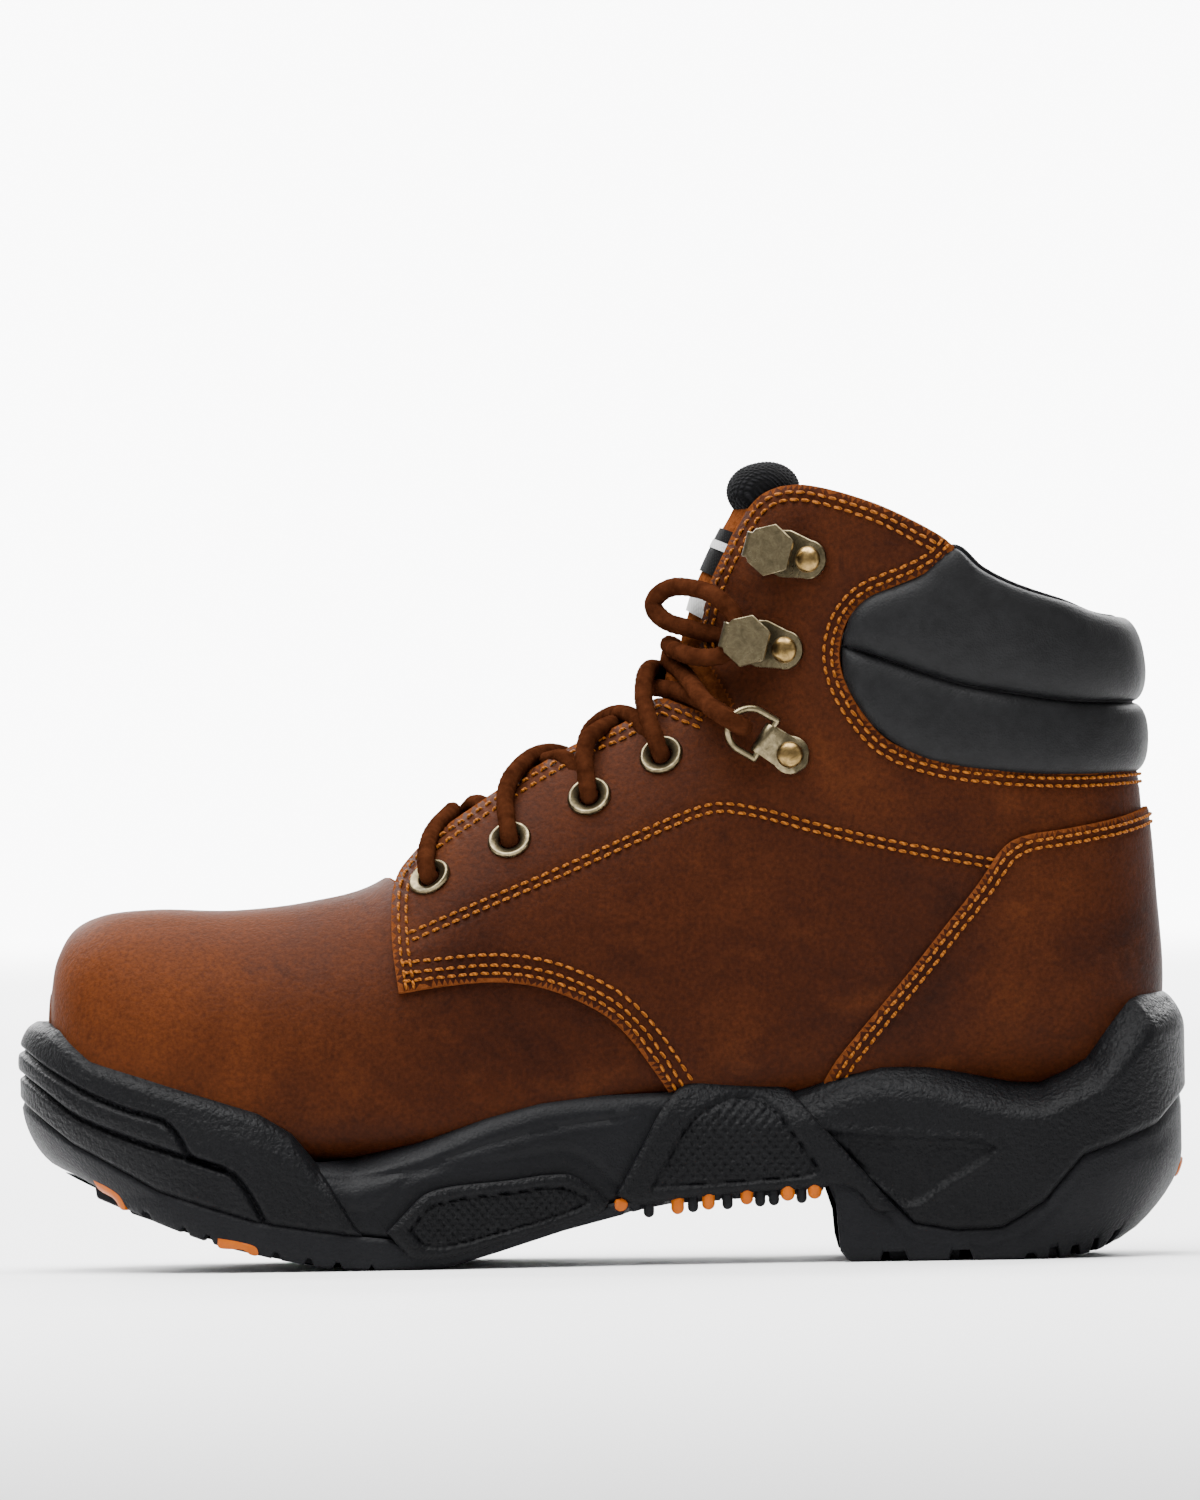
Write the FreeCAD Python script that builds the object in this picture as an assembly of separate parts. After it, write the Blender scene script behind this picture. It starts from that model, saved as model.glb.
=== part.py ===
import FreeCAD, Part
import math
import os

# Steel toe work boot, right foot. Millimetres. +Z is up, the toe points to -X, and the inner (medial)
# side of the foot faces -Y. The origin is on the ground, under the centre of the boot.

V = FreeCAD.Vector
os.makedirs("parts", exist_ok=True)

# ---- driving dimensions -------------------------------------------------------------------------
HALF_LENGTH = 152.0        # half of the sole's length
LEATHER = 1.9              # thickness of one leather panel
GAP = 0.15                 # clearance between stacked layers
VAMP_DEPTH = LEATHER + GAP # how far the vamp lies inside the quarter's outer face
STEEL = 1.8                # wall of the toe cap
CAP_DEPTH = 2 * LEATHER + 2.0
LINING_DEPTH = 4.3
LINING = 2.6
TONGUE_DEPTH = 8.2         # leaves room for a lace between the quarter and the tongue
TONGUE_PAD = 4.2
SOLE_WALL = 5.0            # thickness of the rubber bumper and the heel wrap
OVERLAY = 2.2              # thickness of the panels that stand proud of the sole's side
LACE = 4.4                 # diameter of the round lace
EYELET_HOLE = 2.6          # radius
EYELET_FLANGE = 5.2        # radius
RING_WIRE = 0.9            # radius of the D-ring's wire
RING_TILT = 28.0           # how far the lace lifts the D-ring off the leather, in degrees
RING_HEIGHT = 2.6          # of the D-ring's axis over the leather
REACH = 90.0               # half breadth of every cutting prism

# Sections of the boot's outer form, from the toe, round the heel, to the top of the shaft:
# ridge x, ridge z, far x, far z, half breadth, place of the widest point (share of the way from the
# ridge), roundness of the ridge end, roundness of the far end, share of the offset that moves along x.
STATIONS = [
    (-146.0, 74.0, -146.0, 42.0, 13.0, 0.50, 2.2, 2.6, 1.00),
    (-144.0, 83.0, -144.0, 33.0, 22.0, 0.55, 2.3, 3.0, 0.85),
    (-139.0, 91.0, -140.0, 28.0, 30.5, 0.62, 2.4, 3.6, 0.60),
    (-131.0, 95.0, -131.0, 26.0, 37.5, 0.66, 2.5, 4.0, 0.40),
    (-117.0, 96.5, -117.0, 25.0, 43.0, 0.68, 2.5, 4.5, 0.20),
    (-96.0, 96.0, -95.0, 24.5, 47.0, 0.70, 2.4, 4.5, 0.05),
    (-76.0, 98.0, -72.0, 24.5, 49.0, 0.70, 2.3, 4.5, 0.0),
    (-58.0, 103.0, -45.0, 26.0, 48.5, 0.70, 2.3, 4.5, 0.0),
    (-41.0, 118.5, -15.0, 30.0, 45.5, 0.70, 2.5, 4.5, 0.0),
    (-23.0, 129.5, 20.0, 36.0, 41.0, 0.68, 2.6, 4.2, 0.0),
    (-6.0, 139.5, 60.0, 39.0, 38.0, 0.64, 2.6, 3.8, 0.0),
    (9.0, 147.5, 105.0, 40.0, 36.5, 0.60, 2.5, 3.2, 0.0),
    (16.0, 152.0, 138.0, 44.0, 36.0, 0.58, 2.5, 2.7, 0.0),
    (21.0, 159.0, 145.5, 66.0, 36.5, 0.58, 2.4, 2.4, 0.0),
    (24.0, 169.0, 144.5, 98.0, 36.5, 0.58, 2.3, 2.3, 0.0),
    (28.0, 181.0, 142.5, 126.0, 36.5, 0.56, 2.3, 2.2, 0.0),
    (34.0, 193.0, 142.0, 150.0, 37.0, 0.55, 2.3, 2.2, 0.0),
    (46.0, 214.0, 136.0, 186.0, 38.5, 0.55, 2.3, 2.2, 0.0),
]
SECTION_POINTS = 26

# Sideways shift of the foot's centre line: the toe leans inward, the waist outward.
CENTRE = [(-152, -5), (-110, -4), (-60, 0), (0, 3), (40, 3), (90, 1), (152, 0)]

# Plan of the sole: distance along the boot and half breadth.
PLAN = [
    (-152, 0), (-150.5, 12), (-146, 23), (-138, 33), (-125, 41.5), (-105, 48), (-80, 52), (-55, 52.5),
    (-25, 49), (0, 45), (25, 41.5), (50, 40), (75, 40), (100, 41), (120, 40.5), (135, 36), (145, 27),
    (150.5, 14), (152, 0),
]

# ---- outlines seen from the side (x, z) ----------------------------------------------------------
GROUND_LINE = [
    (-152.5, 46), (-147, 31), (-141, 25), (-127, 17), (-100, 7), (-73, 1), (-60, 0), (-42, 0), (-28, 4),
    (-10, 9.5), (14, 15.5), (59, 18.5), (61, 4), (63.5, 0), (118, 0), (131, 3), (148, 14), (152.5, 25),
]
OUTSOLE_TOP = [
    (152.5, 43), (145, 35), (134, 30), (125, 27), (115, 15), (104, 8.5), (81, 9.5), (70, 21), (58, 25),
    (14, 21), (-10, 18), (-63, 9), (-90, 13), (-117, 21.5), (-140, 34), (-152.5, 46.5),
]
BUMPER_TOP = [(-74, 28), (-81, 37), (-90, 41.5), (-114, 49), (-135, 56), (-145, 64), (-154, 64)]
WAVE_TOP = [(19, 46), (-3, 44.5), (-15, 43), (-29, 39.5), (-47, 33), (-65, 29), (-73.7, 28)]
WRAP_TOP = [
    (154, 72), (144.5, 70), (130, 52.5), (115, 46.5), (107, 47), (85, 51.5), (73, 52), (64, 50), (50, 44.5),
]
ARCH_PANEL = [
    (3, 18), (8, 27), (15, 39.5), (19, 44.5), (27, 47.5), (36, 49), (43, 48), (49, 44.5), (58, 35),
    (68, 23.5), (75, 15), (60, 19), (14, 15.5),
]
FORE_PANEL = [(-57, 9), (-47, 19.5), (-41, 21), (-24, 23), (-10, 24.5), (-1, 19.5), (1, 14), (-28, 4.5),
              (-42, 0.5), (-57, 0.5)]
VAMP_EDGE = [
    (-154, 33), (-140, 32.5), (-120, 30.5), (-70, 30), (-45, 31.5), (-15, 35.5), (20, 41), (30, 50), (20, 66), (-6, 80),
    (-40, 88), (-50, 98), (-52, 112), (-70, 112), (-154, 110),
]
QUARTER_EDGE = [
    (-52, 73), (-29, 74.5), (-19, 74), (-9, 71), (2, 65), (8, 59), (17, 46), (20, 39.5), (60, 42.5),
    (105, 43.5), (160, 47), (160, 127.5), (142, 127.5), (125, 126.5), (90, 130), (75.5, 135.5), (66, 148.5),
    (63.5, 156), (66.5, 168.5), (71.5, 173.5), (85.5, 179), (94, 186), (77, 196), (60, 202.5), (48.5, 203),
    (41, 198), (34.5, 188), (28.5, 172.5), (26.5, 161), (30.5, 155), (35.5, 146), (29, 143.5), (21, 147),
    (15.5, 148), (11.5, 144), (0, 138.5), (-6, 136.8), (-22.5, 127), (-40, 116), (-49, 108), (-53, 105),
    (-54, 101), (-55, 95), (-54, 85),
]
COUNTER_EDGE = [(58, 47.8), (64.5, 54.5), (80.5, 75), (90.5, 88), (101, 99.5), (106, 106.5), (111, 110),
                (121, 112), (143, 117.3), (160, 118), (160, 48), (107, 45.5)]
COLLAR_EDGE = [(160, 128), (142, 128), (125, 127), (90, 130.5), (76, 136), (66.5, 149), (64, 156)]
PUFF_SEAM = [(65.5, 161.5), (79, 156.5), (97, 150.3), (125, 145.6), (160, 145)]
COLLAR_TOP = [(160, 164), (136, 167), (132, 169), (115, 174), (101, 180), (94.5, 185.5), (86, 178.5),
              (72, 173), (67, 168)]
TONGUE_EDGE = [(-62, 84), (-38, 92), (0, 118), (30, 136), (44, 160), (50, 180), (58, 192), (34, 192),
               (12, 180), (0, 160), (-30, 140), (-64, 110)]
LABEL_EDGE = [(20, 172), (36, 172), (40, 182), (24, 182)]

# Places of the hardware on each side (x, z), and the way each one points in that plane (degrees).
EYELETS = [(-44, 102), (-23, 111.5), (-2, 122.5), (17, 133)]
HOOKS = [(50, 160), (56.5, 183.5)]
HOOK_HEADING = 165.0
CLIP = (51, 132.5)
CLIP_HEADING = 148.0
HOOK_REACH = 10.8          # from the rivet to the middle of the hook's plate
CLIP_REACH = 7.6           # from the rivet to the axis of the D-ring
PEGS = [(19.5, 16), (27, 17), (37, 18), (48, 18.5), (55, 19)]
TOE_LUGS = [(-132, 22), (-95, 7.5)]


def smooth(table, x):
    """Value at x of the smooth curve through a table of (x, value)."""
    if x <= table[0][0]:
        return table[0][1]
    for (x0, v0), (x1, v1) in zip(table, table[1:]):
        if x <= x1:
            t = (x - x0) / (x1 - x0)
            return v0 + (v1 - v0) * t * t * (3 - 2 * t)
    return table[-1][1]


def section(station, depth):
    """Closed wire of one section of the boot's form, set in by depth."""
    rx, rz, fx, fz, breadth, widest, ridge_power, far_power, along = station
    length = math.hypot(fx - rx, fz - rz)
    ux, uz = (fx - rx) / length, (fz - rz) / length
    inward = depth * math.sqrt(1 - along * along * 0.75)
    rx, rz = rx + ux * inward + depth * along, rz + uz * inward
    length -= 2 * inward
    breadth -= inward
    shift = smooth(CENTRE, (rx + fx) / 2)
    points = []
    for i in range(SECTION_POINTS):
        turn = 2 * math.pi * i / SECTION_POINTS
        c, s = math.cos(turn), math.sin(turn)
        power = ridge_power if c >= 0 else far_power
        away = abs(c) ** (2 / power)
        share = widest * (1 - away) if c >= 0 else widest + (1 - widest) * away
        side = breadth * abs(s) ** (2 / power) * (1 if s >= 0 else -1)
        points.append(V(rx + ux * length * share, shift + side, rz + uz * length * share))
    curve = Part.BSplineCurve()
    curve.interpolate(points, PeriodicFlag=True)
    return Part.Wire([curve.toShape()])


FORMS = {}


def form(depth):
    """The boot's whole form as a solid, set in by depth."""
    if depth not in FORMS:
        FORMS[depth] = Part.makeLoft([section(s, depth) for s in STATIONS], True, True)
    return FORMS[depth]


def prism(outline, low=-REACH, high=REACH):
    """The outline of x, z points, drawn out along Y."""
    points = [V(x, low, z) for x, z in outline]
    face = Part.Face(Part.makePolygon(points + points[:1]))
    return face.extrude(V(0, high - low, 0))


def plan(offset, low=-1.0, high=80.0):
    """The sole's plan, set out by offset, as an upright solid."""
    half = [(x * (HALF_LENGTH + offset) / HALF_LENGTH, w + offset if w else 0) for x, w in PLAN]
    one = [V(x, smooth(CENTRE, x) - w, low) for x, w in half]
    other = [V(x, smooth(CENTRE, x) + w, low) for x, w in reversed(half[1:-1])]
    curve = Part.BSplineCurve()
    curve.interpolate(one + other, PeriodicFlag=True)
    return Part.Face(Part.Wire([curve.toShape()])).extrude(V(0, 0, high - low))


def shell(outer, inner, outline, low=-REACH, high=REACH):
    """The part of the layer between two depths that lies inside an outline."""
    cutter = prism(outline, low, high)
    return form(outer).common(cutter).cut(form(inner))


def surface(x, z, side, depth=0.0):
    """Point of the form's side wall at x, z. side is -1 for medial and 1 for lateral."""
    line = Part.makeLine(V(x, side * REACH, z), V(x, smooth(CENTRE, x), z))
    inside = line.common(form(depth))
    return max((v.Point for v in inside.Vertexes), key=lambda p: p.y * side)


def normal(x, z, side):
    """Outward unit normal of the side wall at x, z."""
    step = 2.0
    along = surface(x + step, z, side) - surface(x - step, z, side)
    up = surface(x, z + step, side) - surface(x, z - step, side)
    n = along.cross(up)
    n.normalize()
    return n if n.y * side > 0 else n * -1


def seat(shape, place, side, heading):
    """Sets a shape on the side wall: its Z becomes the normal and its X points along heading."""
    x, z = place
    n = normal(x, z, side)
    turn = math.radians(heading)
    forward = V(math.cos(turn), 0, math.sin(turn))
    forward = forward - n * forward.dot(n)
    forward.normalize()
    across = n.cross(forward)
    at = surface(x, z, side)
    matrix = FreeCAD.Matrix(
        forward.x, across.x, n.x, at.x, forward.y, across.y, n.y, at.y, forward.z, across.z, n.z, at.z, 0, 0, 0, 1
    )
    return shape.transformed(matrix)


def seated_point(local, place, side, heading):
    return seat(Part.Vertex(local), place, side, heading).Vertexes[0].Point


def save(shape, name):
    solids = [s for s in shape.Solids if s.Volume > 1.0]
    if not solids:
        raise ValueError(name + " has no solid")
    out = solids[0] if len(solids) == 1 else Part.makeCompound(solids)
    out.exportStep("parts/" + name + ".step")
    box = out.BoundBox
    print(name, len(solids), "solids", round(out.Volume), "mm3",
          [round(v) for v in (box.XMin, box.XMax, box.YMin, box.YMax, box.ZMin, box.ZMax)], out.isValid())


def biggest(shape):
    return max(shape.Solids, key=lambda solid: solid.Volume)


SIDES = (("medial", -1), ("lateral", 1))


def half_range(side):
    return (-REACH, 0.0) if side < 0 else (0.0, REACH)


# ---- upper --------------------------------------------------------------------------------------
def eyelet_holes(side):
    drills = [seat(Part.makeCylinder(EYELET_HOLE + 0.5, 12, V(0, 0, -8)), p, side, 30) for p in EYELETS]
    return Part.makeCompound(drills)


def counter_cover():
    return shell(-GAP - LEATHER, -GAP, COUNTER_EDGE)


def build_upper():
    save(shell(VAMP_DEPTH, VAMP_DEPTH + LEATHER, VAMP_EDGE), "vamp")
    for name, side in SIDES:
        low, high = half_range(side)
        quarter = shell(0.0, LEATHER, QUARTER_EDGE, low, high).cut(eyelet_holes(side))
        save(biggest(quarter), "quarter_" + name)
    save(counter_cover(), "heel_counter_cover")
    stiffener = [(72, 46), (95, 84), (112, 96), (160, 100), (160, 50)]
    save(shell(VAMP_DEPTH, LINING_DEPTH - GAP, stiffener), "heel_stiffener")
    vamp_lining = [(-150, 40), (-66, 40), (-66, 100), (-150, 100)]
    save(shell(CAP_DEPTH + STEEL + GAP, CAP_DEPTH + STEEL + 1.3, vamp_lining), "vamp_lining")
    toe_cap = [(-150, 33.2), (-90, 33.2), (-87, 60), (-92, 110), (-150, 110)]
    save(shell(CAP_DEPTH, CAP_DEPTH + STEEL, toe_cap), "steel_toe_cap")
    cap_edge = [(-86.4, 45), (-79, 45), (-79, 110), (-91.4, 110), (-86.4, 60)]
    save(shell(CAP_DEPTH + 0.4, CAP_DEPTH + STEEL, cap_edge), "toe_cap_edge_foam")
    lining = [(-62, 40), (-38, 40), (60, 50), (105, 51), (160, 56), (160, 126), (125, 125), (90, 128), (74, 134),
              (63, 148), (60, 156), (63, 170), (70, 176), (84, 181), (76, 192), (58, 198), (48, 196),
              (42, 180), (37, 160), (42, 142), (20, 128), (-18, 108), (-38, 86), (-62, 72)]
    for name, side in SIDES:
        low, high = half_range(side)
        save(shell(LINING_DEPTH, LINING_DEPTH + LINING, lining, low, high), "quarter_lining_" + name)


def build_collar():
    under_seam = [(x, z - 2 * GAP) for x, z in PUFF_SEAM]
    save(shell(-2.2, 8.0, COLLAR_EDGE + under_seam), "collar_pad_lower")
    save(shell(-2.2, 8.0, PUFF_SEAM + COLLAR_TOP), "collar_pad_upper")
    inner = [(160, 128), (90, 131), (72, 138), (66, 156), (74, 172), (94, 181), (115, 171), (136, 163), (160, 160)]
    save(shell(8.2, 9.2, inner), "collar_lining")


def build_tongue():
    width = Part.makeBox(200, 46, 200, V(-80, -22, 60))
    save(shell(TONGUE_DEPTH, TONGUE_DEPTH + 1.4, TONGUE_EDGE).common(width), "tongue_leather")
    pad = shell(TONGUE_DEPTH + 1.4 + GAP, TONGUE_DEPTH + 1.4 + TONGUE_PAD, TONGUE_EDGE).common(width)
    save(pad, "tongue_padding")
    band = Part.makeBox(200, 28, 200, V(-80, -13, 60))
    save(shell(TONGUE_DEPTH - 0.9, TONGUE_DEPTH - GAP, LABEL_EDGE).common(band), "tongue_label")
    radius, reach = 8.4, 6.5
    middle = V(45.7, 0.5, 201.7)
    roll = Part.makeCylinder(radius, 2 * reach, middle - V(0, reach, 0), V(0, 1, 0))
    for end in (-reach, reach):
        roll = roll.fuse(Part.makeSphere(radius, middle + V(0, end, 0)))
    save(roll, "tongue_roll")


# ---- sole ---------------------------------------------------------------------------------------
def sole_ring(outline, outer, inner):
    return prism(outline).common(plan(outer)).cut(plan(inner))


def build_sole():
    foot = form(-GAP)
    cover = counter_cover()
    outsole = prism(GROUND_LINE + OUTSOLE_TOP).common(plan(0.0)).cut(foot)
    pegs = [peg(p, side) for _, side in SIDES for p in PEGS]
    lugs = [lug(p, side) for _, side in SIDES for p in TOE_LUGS]
    wells = [peg(p, side, 0.2) for _, side in SIDES for p in PEGS]
    wells += [lug(p, side, 0.2) for _, side in SIDES for p in TOE_LUGS]
    save(outsole.cut(Part.makeCompound(wells)), "outsole")
    save(Part.makeCompound(pegs), "arch_pegs")
    save(Part.makeCompound(lugs), "toe_lug_inserts")

    seam = [(x, z + GAP) for x, z in reversed(OUTSOLE_TOP)]
    toe_seam = [p for p in seam if p[0] < -70]
    bumper = toe_seam + [(-67, 10.0)] + BUMPER_TOP
    save(sole_ring(bumper, 0.0, -SOLE_WALL).cut(foot), "toe_bumper")
    heel_seam = [p for p in seam if p[0] > 57]
    wrap = heel_seam + WRAP_TOP + [(50, 24.7)]
    save(sole_ring(wrap, 0.0, -SOLE_WALL).cut(foot).cut(cover), "heel_wrap")

    top = [(152.5, 50), (60, 43), (50, 44)] + WAVE_TOP + [(-80, 32), (-140, 50), (-152.5, 52)]
    block = prism(seam + top).common(plan(0.0))
    for part in (bumper, wrap):
        block = block.cut(prism(part).cut(plan(-SOLE_WALL - GAP)))
    shank = Part.makeBox(96, 14, 1.6, V(-24, -4, 31.5))
    shank.rotate(V(20, 0, 32), V(0, 1, 0), -5.0)
    save(shank, "steel_shank")
    recess = Part.makeBox(97, 15, 14, V(-24.5, -4.5, 31.2))
    recess.rotate(V(20, 0, 32), V(0, 1, 0), -5.0)
    save(biggest(block.cut(foot).cut(recess).cut(cover)), "midsole")

    for name, side in SIDES:
        low, high = half_range(side)
        for label, outline in (("arch_panel_", ARCH_PANEL), ("forefoot_panel_", FORE_PANEL)):
            panel = prism(outline, low, high).common(plan(OVERLAY + GAP)).cut(plan(GAP)).cut(foot)
            save(panel, label + name)

    def floor_band(low, high):
        floor = [(-150, STATIONS[3][3])] + [(s[2], s[3]) for s in STATIONS[3:13]]
        low_line = [(x, z + low) for x, z in floor]
        high_line = [(x, z + high) for x, z in floor]
        return low_line + [(148, low_line[-1][1])] + [(148, high_line[-1][1])] + high_line[::-1]

    board = form(VAMP_DEPTH + LEATHER + GAP).common(prism(floor_band(0.5, 6.8)))
    save(board, "insole_board")
    bed = form(CAP_DEPTH + STEEL + 2.4).common(prism(floor_band(7.2, 13.5)))
    save(bed, "footbed")


def peg(place, side, extra=0.0):
    """One soft orange peg at the edge of the arch."""
    x, z = place
    y = smooth(CENTRE, x) + side * (smooth(PLAN, x) - 2.0)
    radius = 1.7 + extra
    body = Part.makeCylinder(radius, 5.0 + extra, V(x, y, z - 2.6), V(0, 0, 1))
    return body.fuse(Part.makeSphere(radius, V(x, y, z - 2.6)))


def lug(place, side, extra=0.0):
    """One orange insert in the lugs along the toe."""
    x, z = place
    y = smooth(CENTRE, x) + side * (smooth(PLAN, x) - 3.5)
    size = V(9.0 + 2 * extra, 5.0 + 2 * extra, 3.0 + 2 * extra)
    box = Part.makeBox(size.x, size.y, size.z, V(x - size.x / 2, y - size.y / 2, z - size.z / 2))
    box.rotate(V(x, y, z), V(0, 1, 0), 20.0)
    return box


# ---- hardware -----------------------------------------------------------------------------------
def eyelet():
    barrel = Part.makeCylinder(EYELET_HOLE + 0.35, 4.2, V(0, 0, -3.2))
    flange = Part.makeCone(EYELET_FLANGE, EYELET_FLANGE - 1.2, 0.9, V(0, 0, 0.35))
    washer = Part.makeCylinder(EYELET_FLANGE - 1.0, 0.5, V(0, 0, -3.2))
    return barrel.fuse([flange, washer]).cut(Part.makeCylinder(EYELET_HOLE - 0.2, 12, V(0, 0, -6)))


def hook():
    """Base strap, neck at the leading edge, and a six-sided plate that stands over the strap."""
    thick, rise, width = 1.0, 7.4, 12.2
    base = Part.makeBox(HOOK_REACH + 9.0, 6.0, thick, V(-3.5, -3.0, 0.5))
    neck = Part.makeBox(thick, 5.0, rise - 0.5, V(HOOK_REACH + 4.5, -2.5, 0.5))
    corners = [(-6.3, 0), (-3.2, -width / 2), (3.2, -width / 2), (6.3, 0), (3.2, width / 2), (-3.2, width / 2)]
    points = [V(HOOK_REACH + a, b, rise - thick) for a, b in corners]
    plate = Part.Face(Part.makePolygon(points + points[:1])).extrude(V(0, 0, thick))
    hole = Part.makeCylinder(1.4, 6, V(0, 0, -1))
    return base.fuse([neck, plate]).cut(hole)


def rivet(radius):
    cap = Part.makeSphere(radius * 1.25, V(0, 0, 1.55 - radius * 0.75))
    cap = cap.common(Part.makeBox(20, 20, 10, V(-10, -10, 1.55)))
    return cap.fuse(Part.makeCylinder(1.3, 3.2, V(0, 0, -1.6)))


def clip():
    """Folded strap whose barrel holds the D-ring."""
    strap = Part.makeBox(CLIP_REACH + 3.6, 8.0, 1.1, V(-3.6, -4.0, 0.4))
    barrel = Part.makeCylinder(2.2, 7.0, V(CLIP_REACH, -3.5, RING_HEIGHT), V(0, 1, 0))
    bore = Part.makeCylinder(RING_WIRE + 0.3, 12, V(CLIP_REACH, -6, RING_HEIGHT), V(0, 1, 0))
    return strap.fuse(barrel).cut(bore).cut(Part.makeCylinder(1.4, 6, V(0, 0, -1)))


def d_ring():
    """Round wire bent to a D: its bar turns in the clip's barrel and its bow points forward and out."""
    half, leg = 5.8, 5.0
    wire = RING_WIRE
    along = V(1, 0, 0)
    ring = Part.makeCylinder(wire, 2 * half, V(0, -half, 0), V(0, 1, 0))
    for b in (-half, half):
        ring = ring.fuse([Part.makeCylinder(wire, leg, V(0, b, 0), along), Part.makeSphere(wire, V(0, b, 0))])
    section_face = Part.Face(Part.Wire([Part.Circle(V(leg, -half, 0), along, wire).toShape()]))
    ring = ring.fuse(section_face.revolve(V(leg, 0, 0), V(0, 0, 1), 180))
    ring.rotate(V(0, 0, 0), V(0, 1, 0), -RING_TILT)
    ring.translate(V(CLIP_REACH, 0, RING_HEIGHT))
    return ring


def build_hardware():
    for name, side in SIDES:
        save(Part.makeCompound([seat(eyelet(), p, side, 30) for p in EYELETS]), "eyelets_" + name)
        save(Part.makeCompound([seat(hook(), p, side, HOOK_HEADING) for p in HOOKS]), "speed_hooks_" + name)
        rivets = [seat(rivet(3.1), p, side, HOOK_HEADING) for p in HOOKS]
        rivets.append(seat(rivet(3.5), CLIP, side, CLIP_HEADING))
        save(Part.makeCompound(rivets), "rivets_" + name)
        save(seat(clip(), CLIP, side, CLIP_HEADING), "ring_clip_" + name)
        save(seat(d_ring(), CLIP, side, CLIP_HEADING), "d_ring_" + name)
        pivot = seated_point(V(CLIP_REACH, 0, RING_HEIGHT), CLIP, side, CLIP_HEADING)
        end = seated_point(V(CLIP_REACH, 1, RING_HEIGHT), CLIP, side, CLIP_HEADING)
        print("  d_ring pivot", name, [round(v, 3) for v in pivot], "axis", [round(v, 4) for v in end - pivot])


# ---- lace ---------------------------------------------------------------------------------------
def cord_wire(points):
    """Straight runs joined by tangent arcs, each as large as its two runs allow."""
    edges, start, radii = [], points[0], []
    for a, b, c in zip(points, points[1:], points[2:]):
        run_in, run_out = b - a, c - b
        short = min(run_in.Length, run_out.Length)
        turn = run_in.getAngle(run_out)
        back = 0.45 * short
        radii.append(back / math.tan(turn / 2))
        run_in.normalize()
        run_out.normalize()
        first, last = b - run_in * back, b + run_out * back
        bisector = run_out - run_in
        bisector.normalize()
        centre = b + bisector * (radii[-1] / math.cos(turn / 2))
        middle = centre - bisector * radii[-1]
        edges.append(Part.LineSegment(start, first).toShape())
        edges.append(Part.Arc(first, middle, last).toShape())
        start = last
    edges.append(Part.LineSegment(start, points[-1]).toShape())
    return Part.Wire(edges), radii


def cord(points, name):
    wire, radii = cord_wire(points)
    ahead = points[1] - points[0]
    profile = Part.Wire([Part.Circle(points[0], ahead, LACE / 2).toShape()])
    tube = wire.makePipeShell([profile], True, False)
    area = math.pi * LACE * LACE / 4
    print("  ", name, "length", round(wire.Length), "volume share", round(tube.Volume / area / wire.Length, 3),
          "least radius", round(min(radii), 1), "radii", [round(r) for r in radii])
    save(tube, name)


def eyestay(x):
    """Height of the eyestay's edge at x."""
    line = [(-49, 108), (-40, 116), (-22.5, 127), (-6, 136.8), (11.5, 144), (20, 148)]
    for (x0, z0), (x1, z1) in zip(line, line[1:]):
        if x <= x1:
            return z0 + (z1 - z0) * (x - x0) / (x1 - x0)
    return line[-1][1]


def through(place, side, outward):
    """Points of the lace on both sides of an eyelet, in the order that it passes them."""
    hole, out = surface(*place, side), normal(*place, side)
    pair = [hole - out * 4.0, hole + out * 3.4]
    return pair if outward else pair[::-1]


def lace_half(side):
    """Half of the lace, from the bar across the lowest eyelets to its tucked end.

    It leaves each eyelet outward, passes over its own eyestay, crosses the tongue, slips under the other
    eyestay and comes out of the next eyelet. Above the eyelets it folds round the D-ring's bow, passes
    behind the lower hook's neck, and turns back under its own flap into the shaft.
    """
    lift = 2.5 * side
    first = EYELETS[0][0]
    points = [V(first - 2, side * 17, eyestay(first - 2) + 3.2)] + through(EYELETS[0], side, False)
    points.append(V(first + 9, side * 9, eyestay(first + 9) - 2.5 + lift))
    points.append(V(first + 14, side * -8, eyestay(first + 14) - 2.5 + lift))
    at = -side
    for i in (1, 2):
        points += through(EYELETS[i], at, True)
        x, ahead = EYELETS[i][0], EYELETS[i + 1][0]
        points.append(V(x - 4, at * 20, eyestay(x - 4) + 2.4))
        points.append(V(x + 2, at * 9, eyestay(x + 2) + 4.6 + lift))
        points.append(V(x + 9, at * -8, eyestay(x + 9) + 2.0 + lift))
        points.append(V(ahead - 5, at * -16.5, eyestay(ahead - 5) - 2.4))
        at = -at
    points += through(EYELETS[3], at, True)
    points += [V(12, at * 20.5, 148), V(13.5, at * 9, 153.5 + lift), V(17, at * -8, 153 + lift)]
    at = -at
    points.append(V(23.5, at * 17, 149.5))
    for a, h in ((25, 1.4), (18, 2.4), (11.9, 7.6), (16.5, 13.2), (24, 11.2)):
        points.append(seated_point(V(a, 0, h), CLIP, at, CLIP_HEADING))
    points += [V(23, at * 15, 157.5 + lift), V(19, at * -1, 160 + lift), V(20.5, at * -15, 160.5)]
    at = -at
    down = -at
    for a, b in ((21, 8), (13.0, 4.6), (13.0, -4.6), (20, -9)):
        points.append(seated_point(V(a, b * down, 4.1), HOOKS[0], at, HOOK_HEADING))
    points += [V(27.5, at * 17.5, 176.5), V(20, at * 10, 177.5), V(14.5, at * 7, 173), V(18, at * 10.5, 168)]
    points += [V(25, at * 16, 166), V(34, at * 18.5, 163.5), V(45, at * 21, 158), V(55, at * 22, 148)]
    points += [V(64, at * 22.5, 135), V(71, at * 22.5, 120)]
    return points


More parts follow.
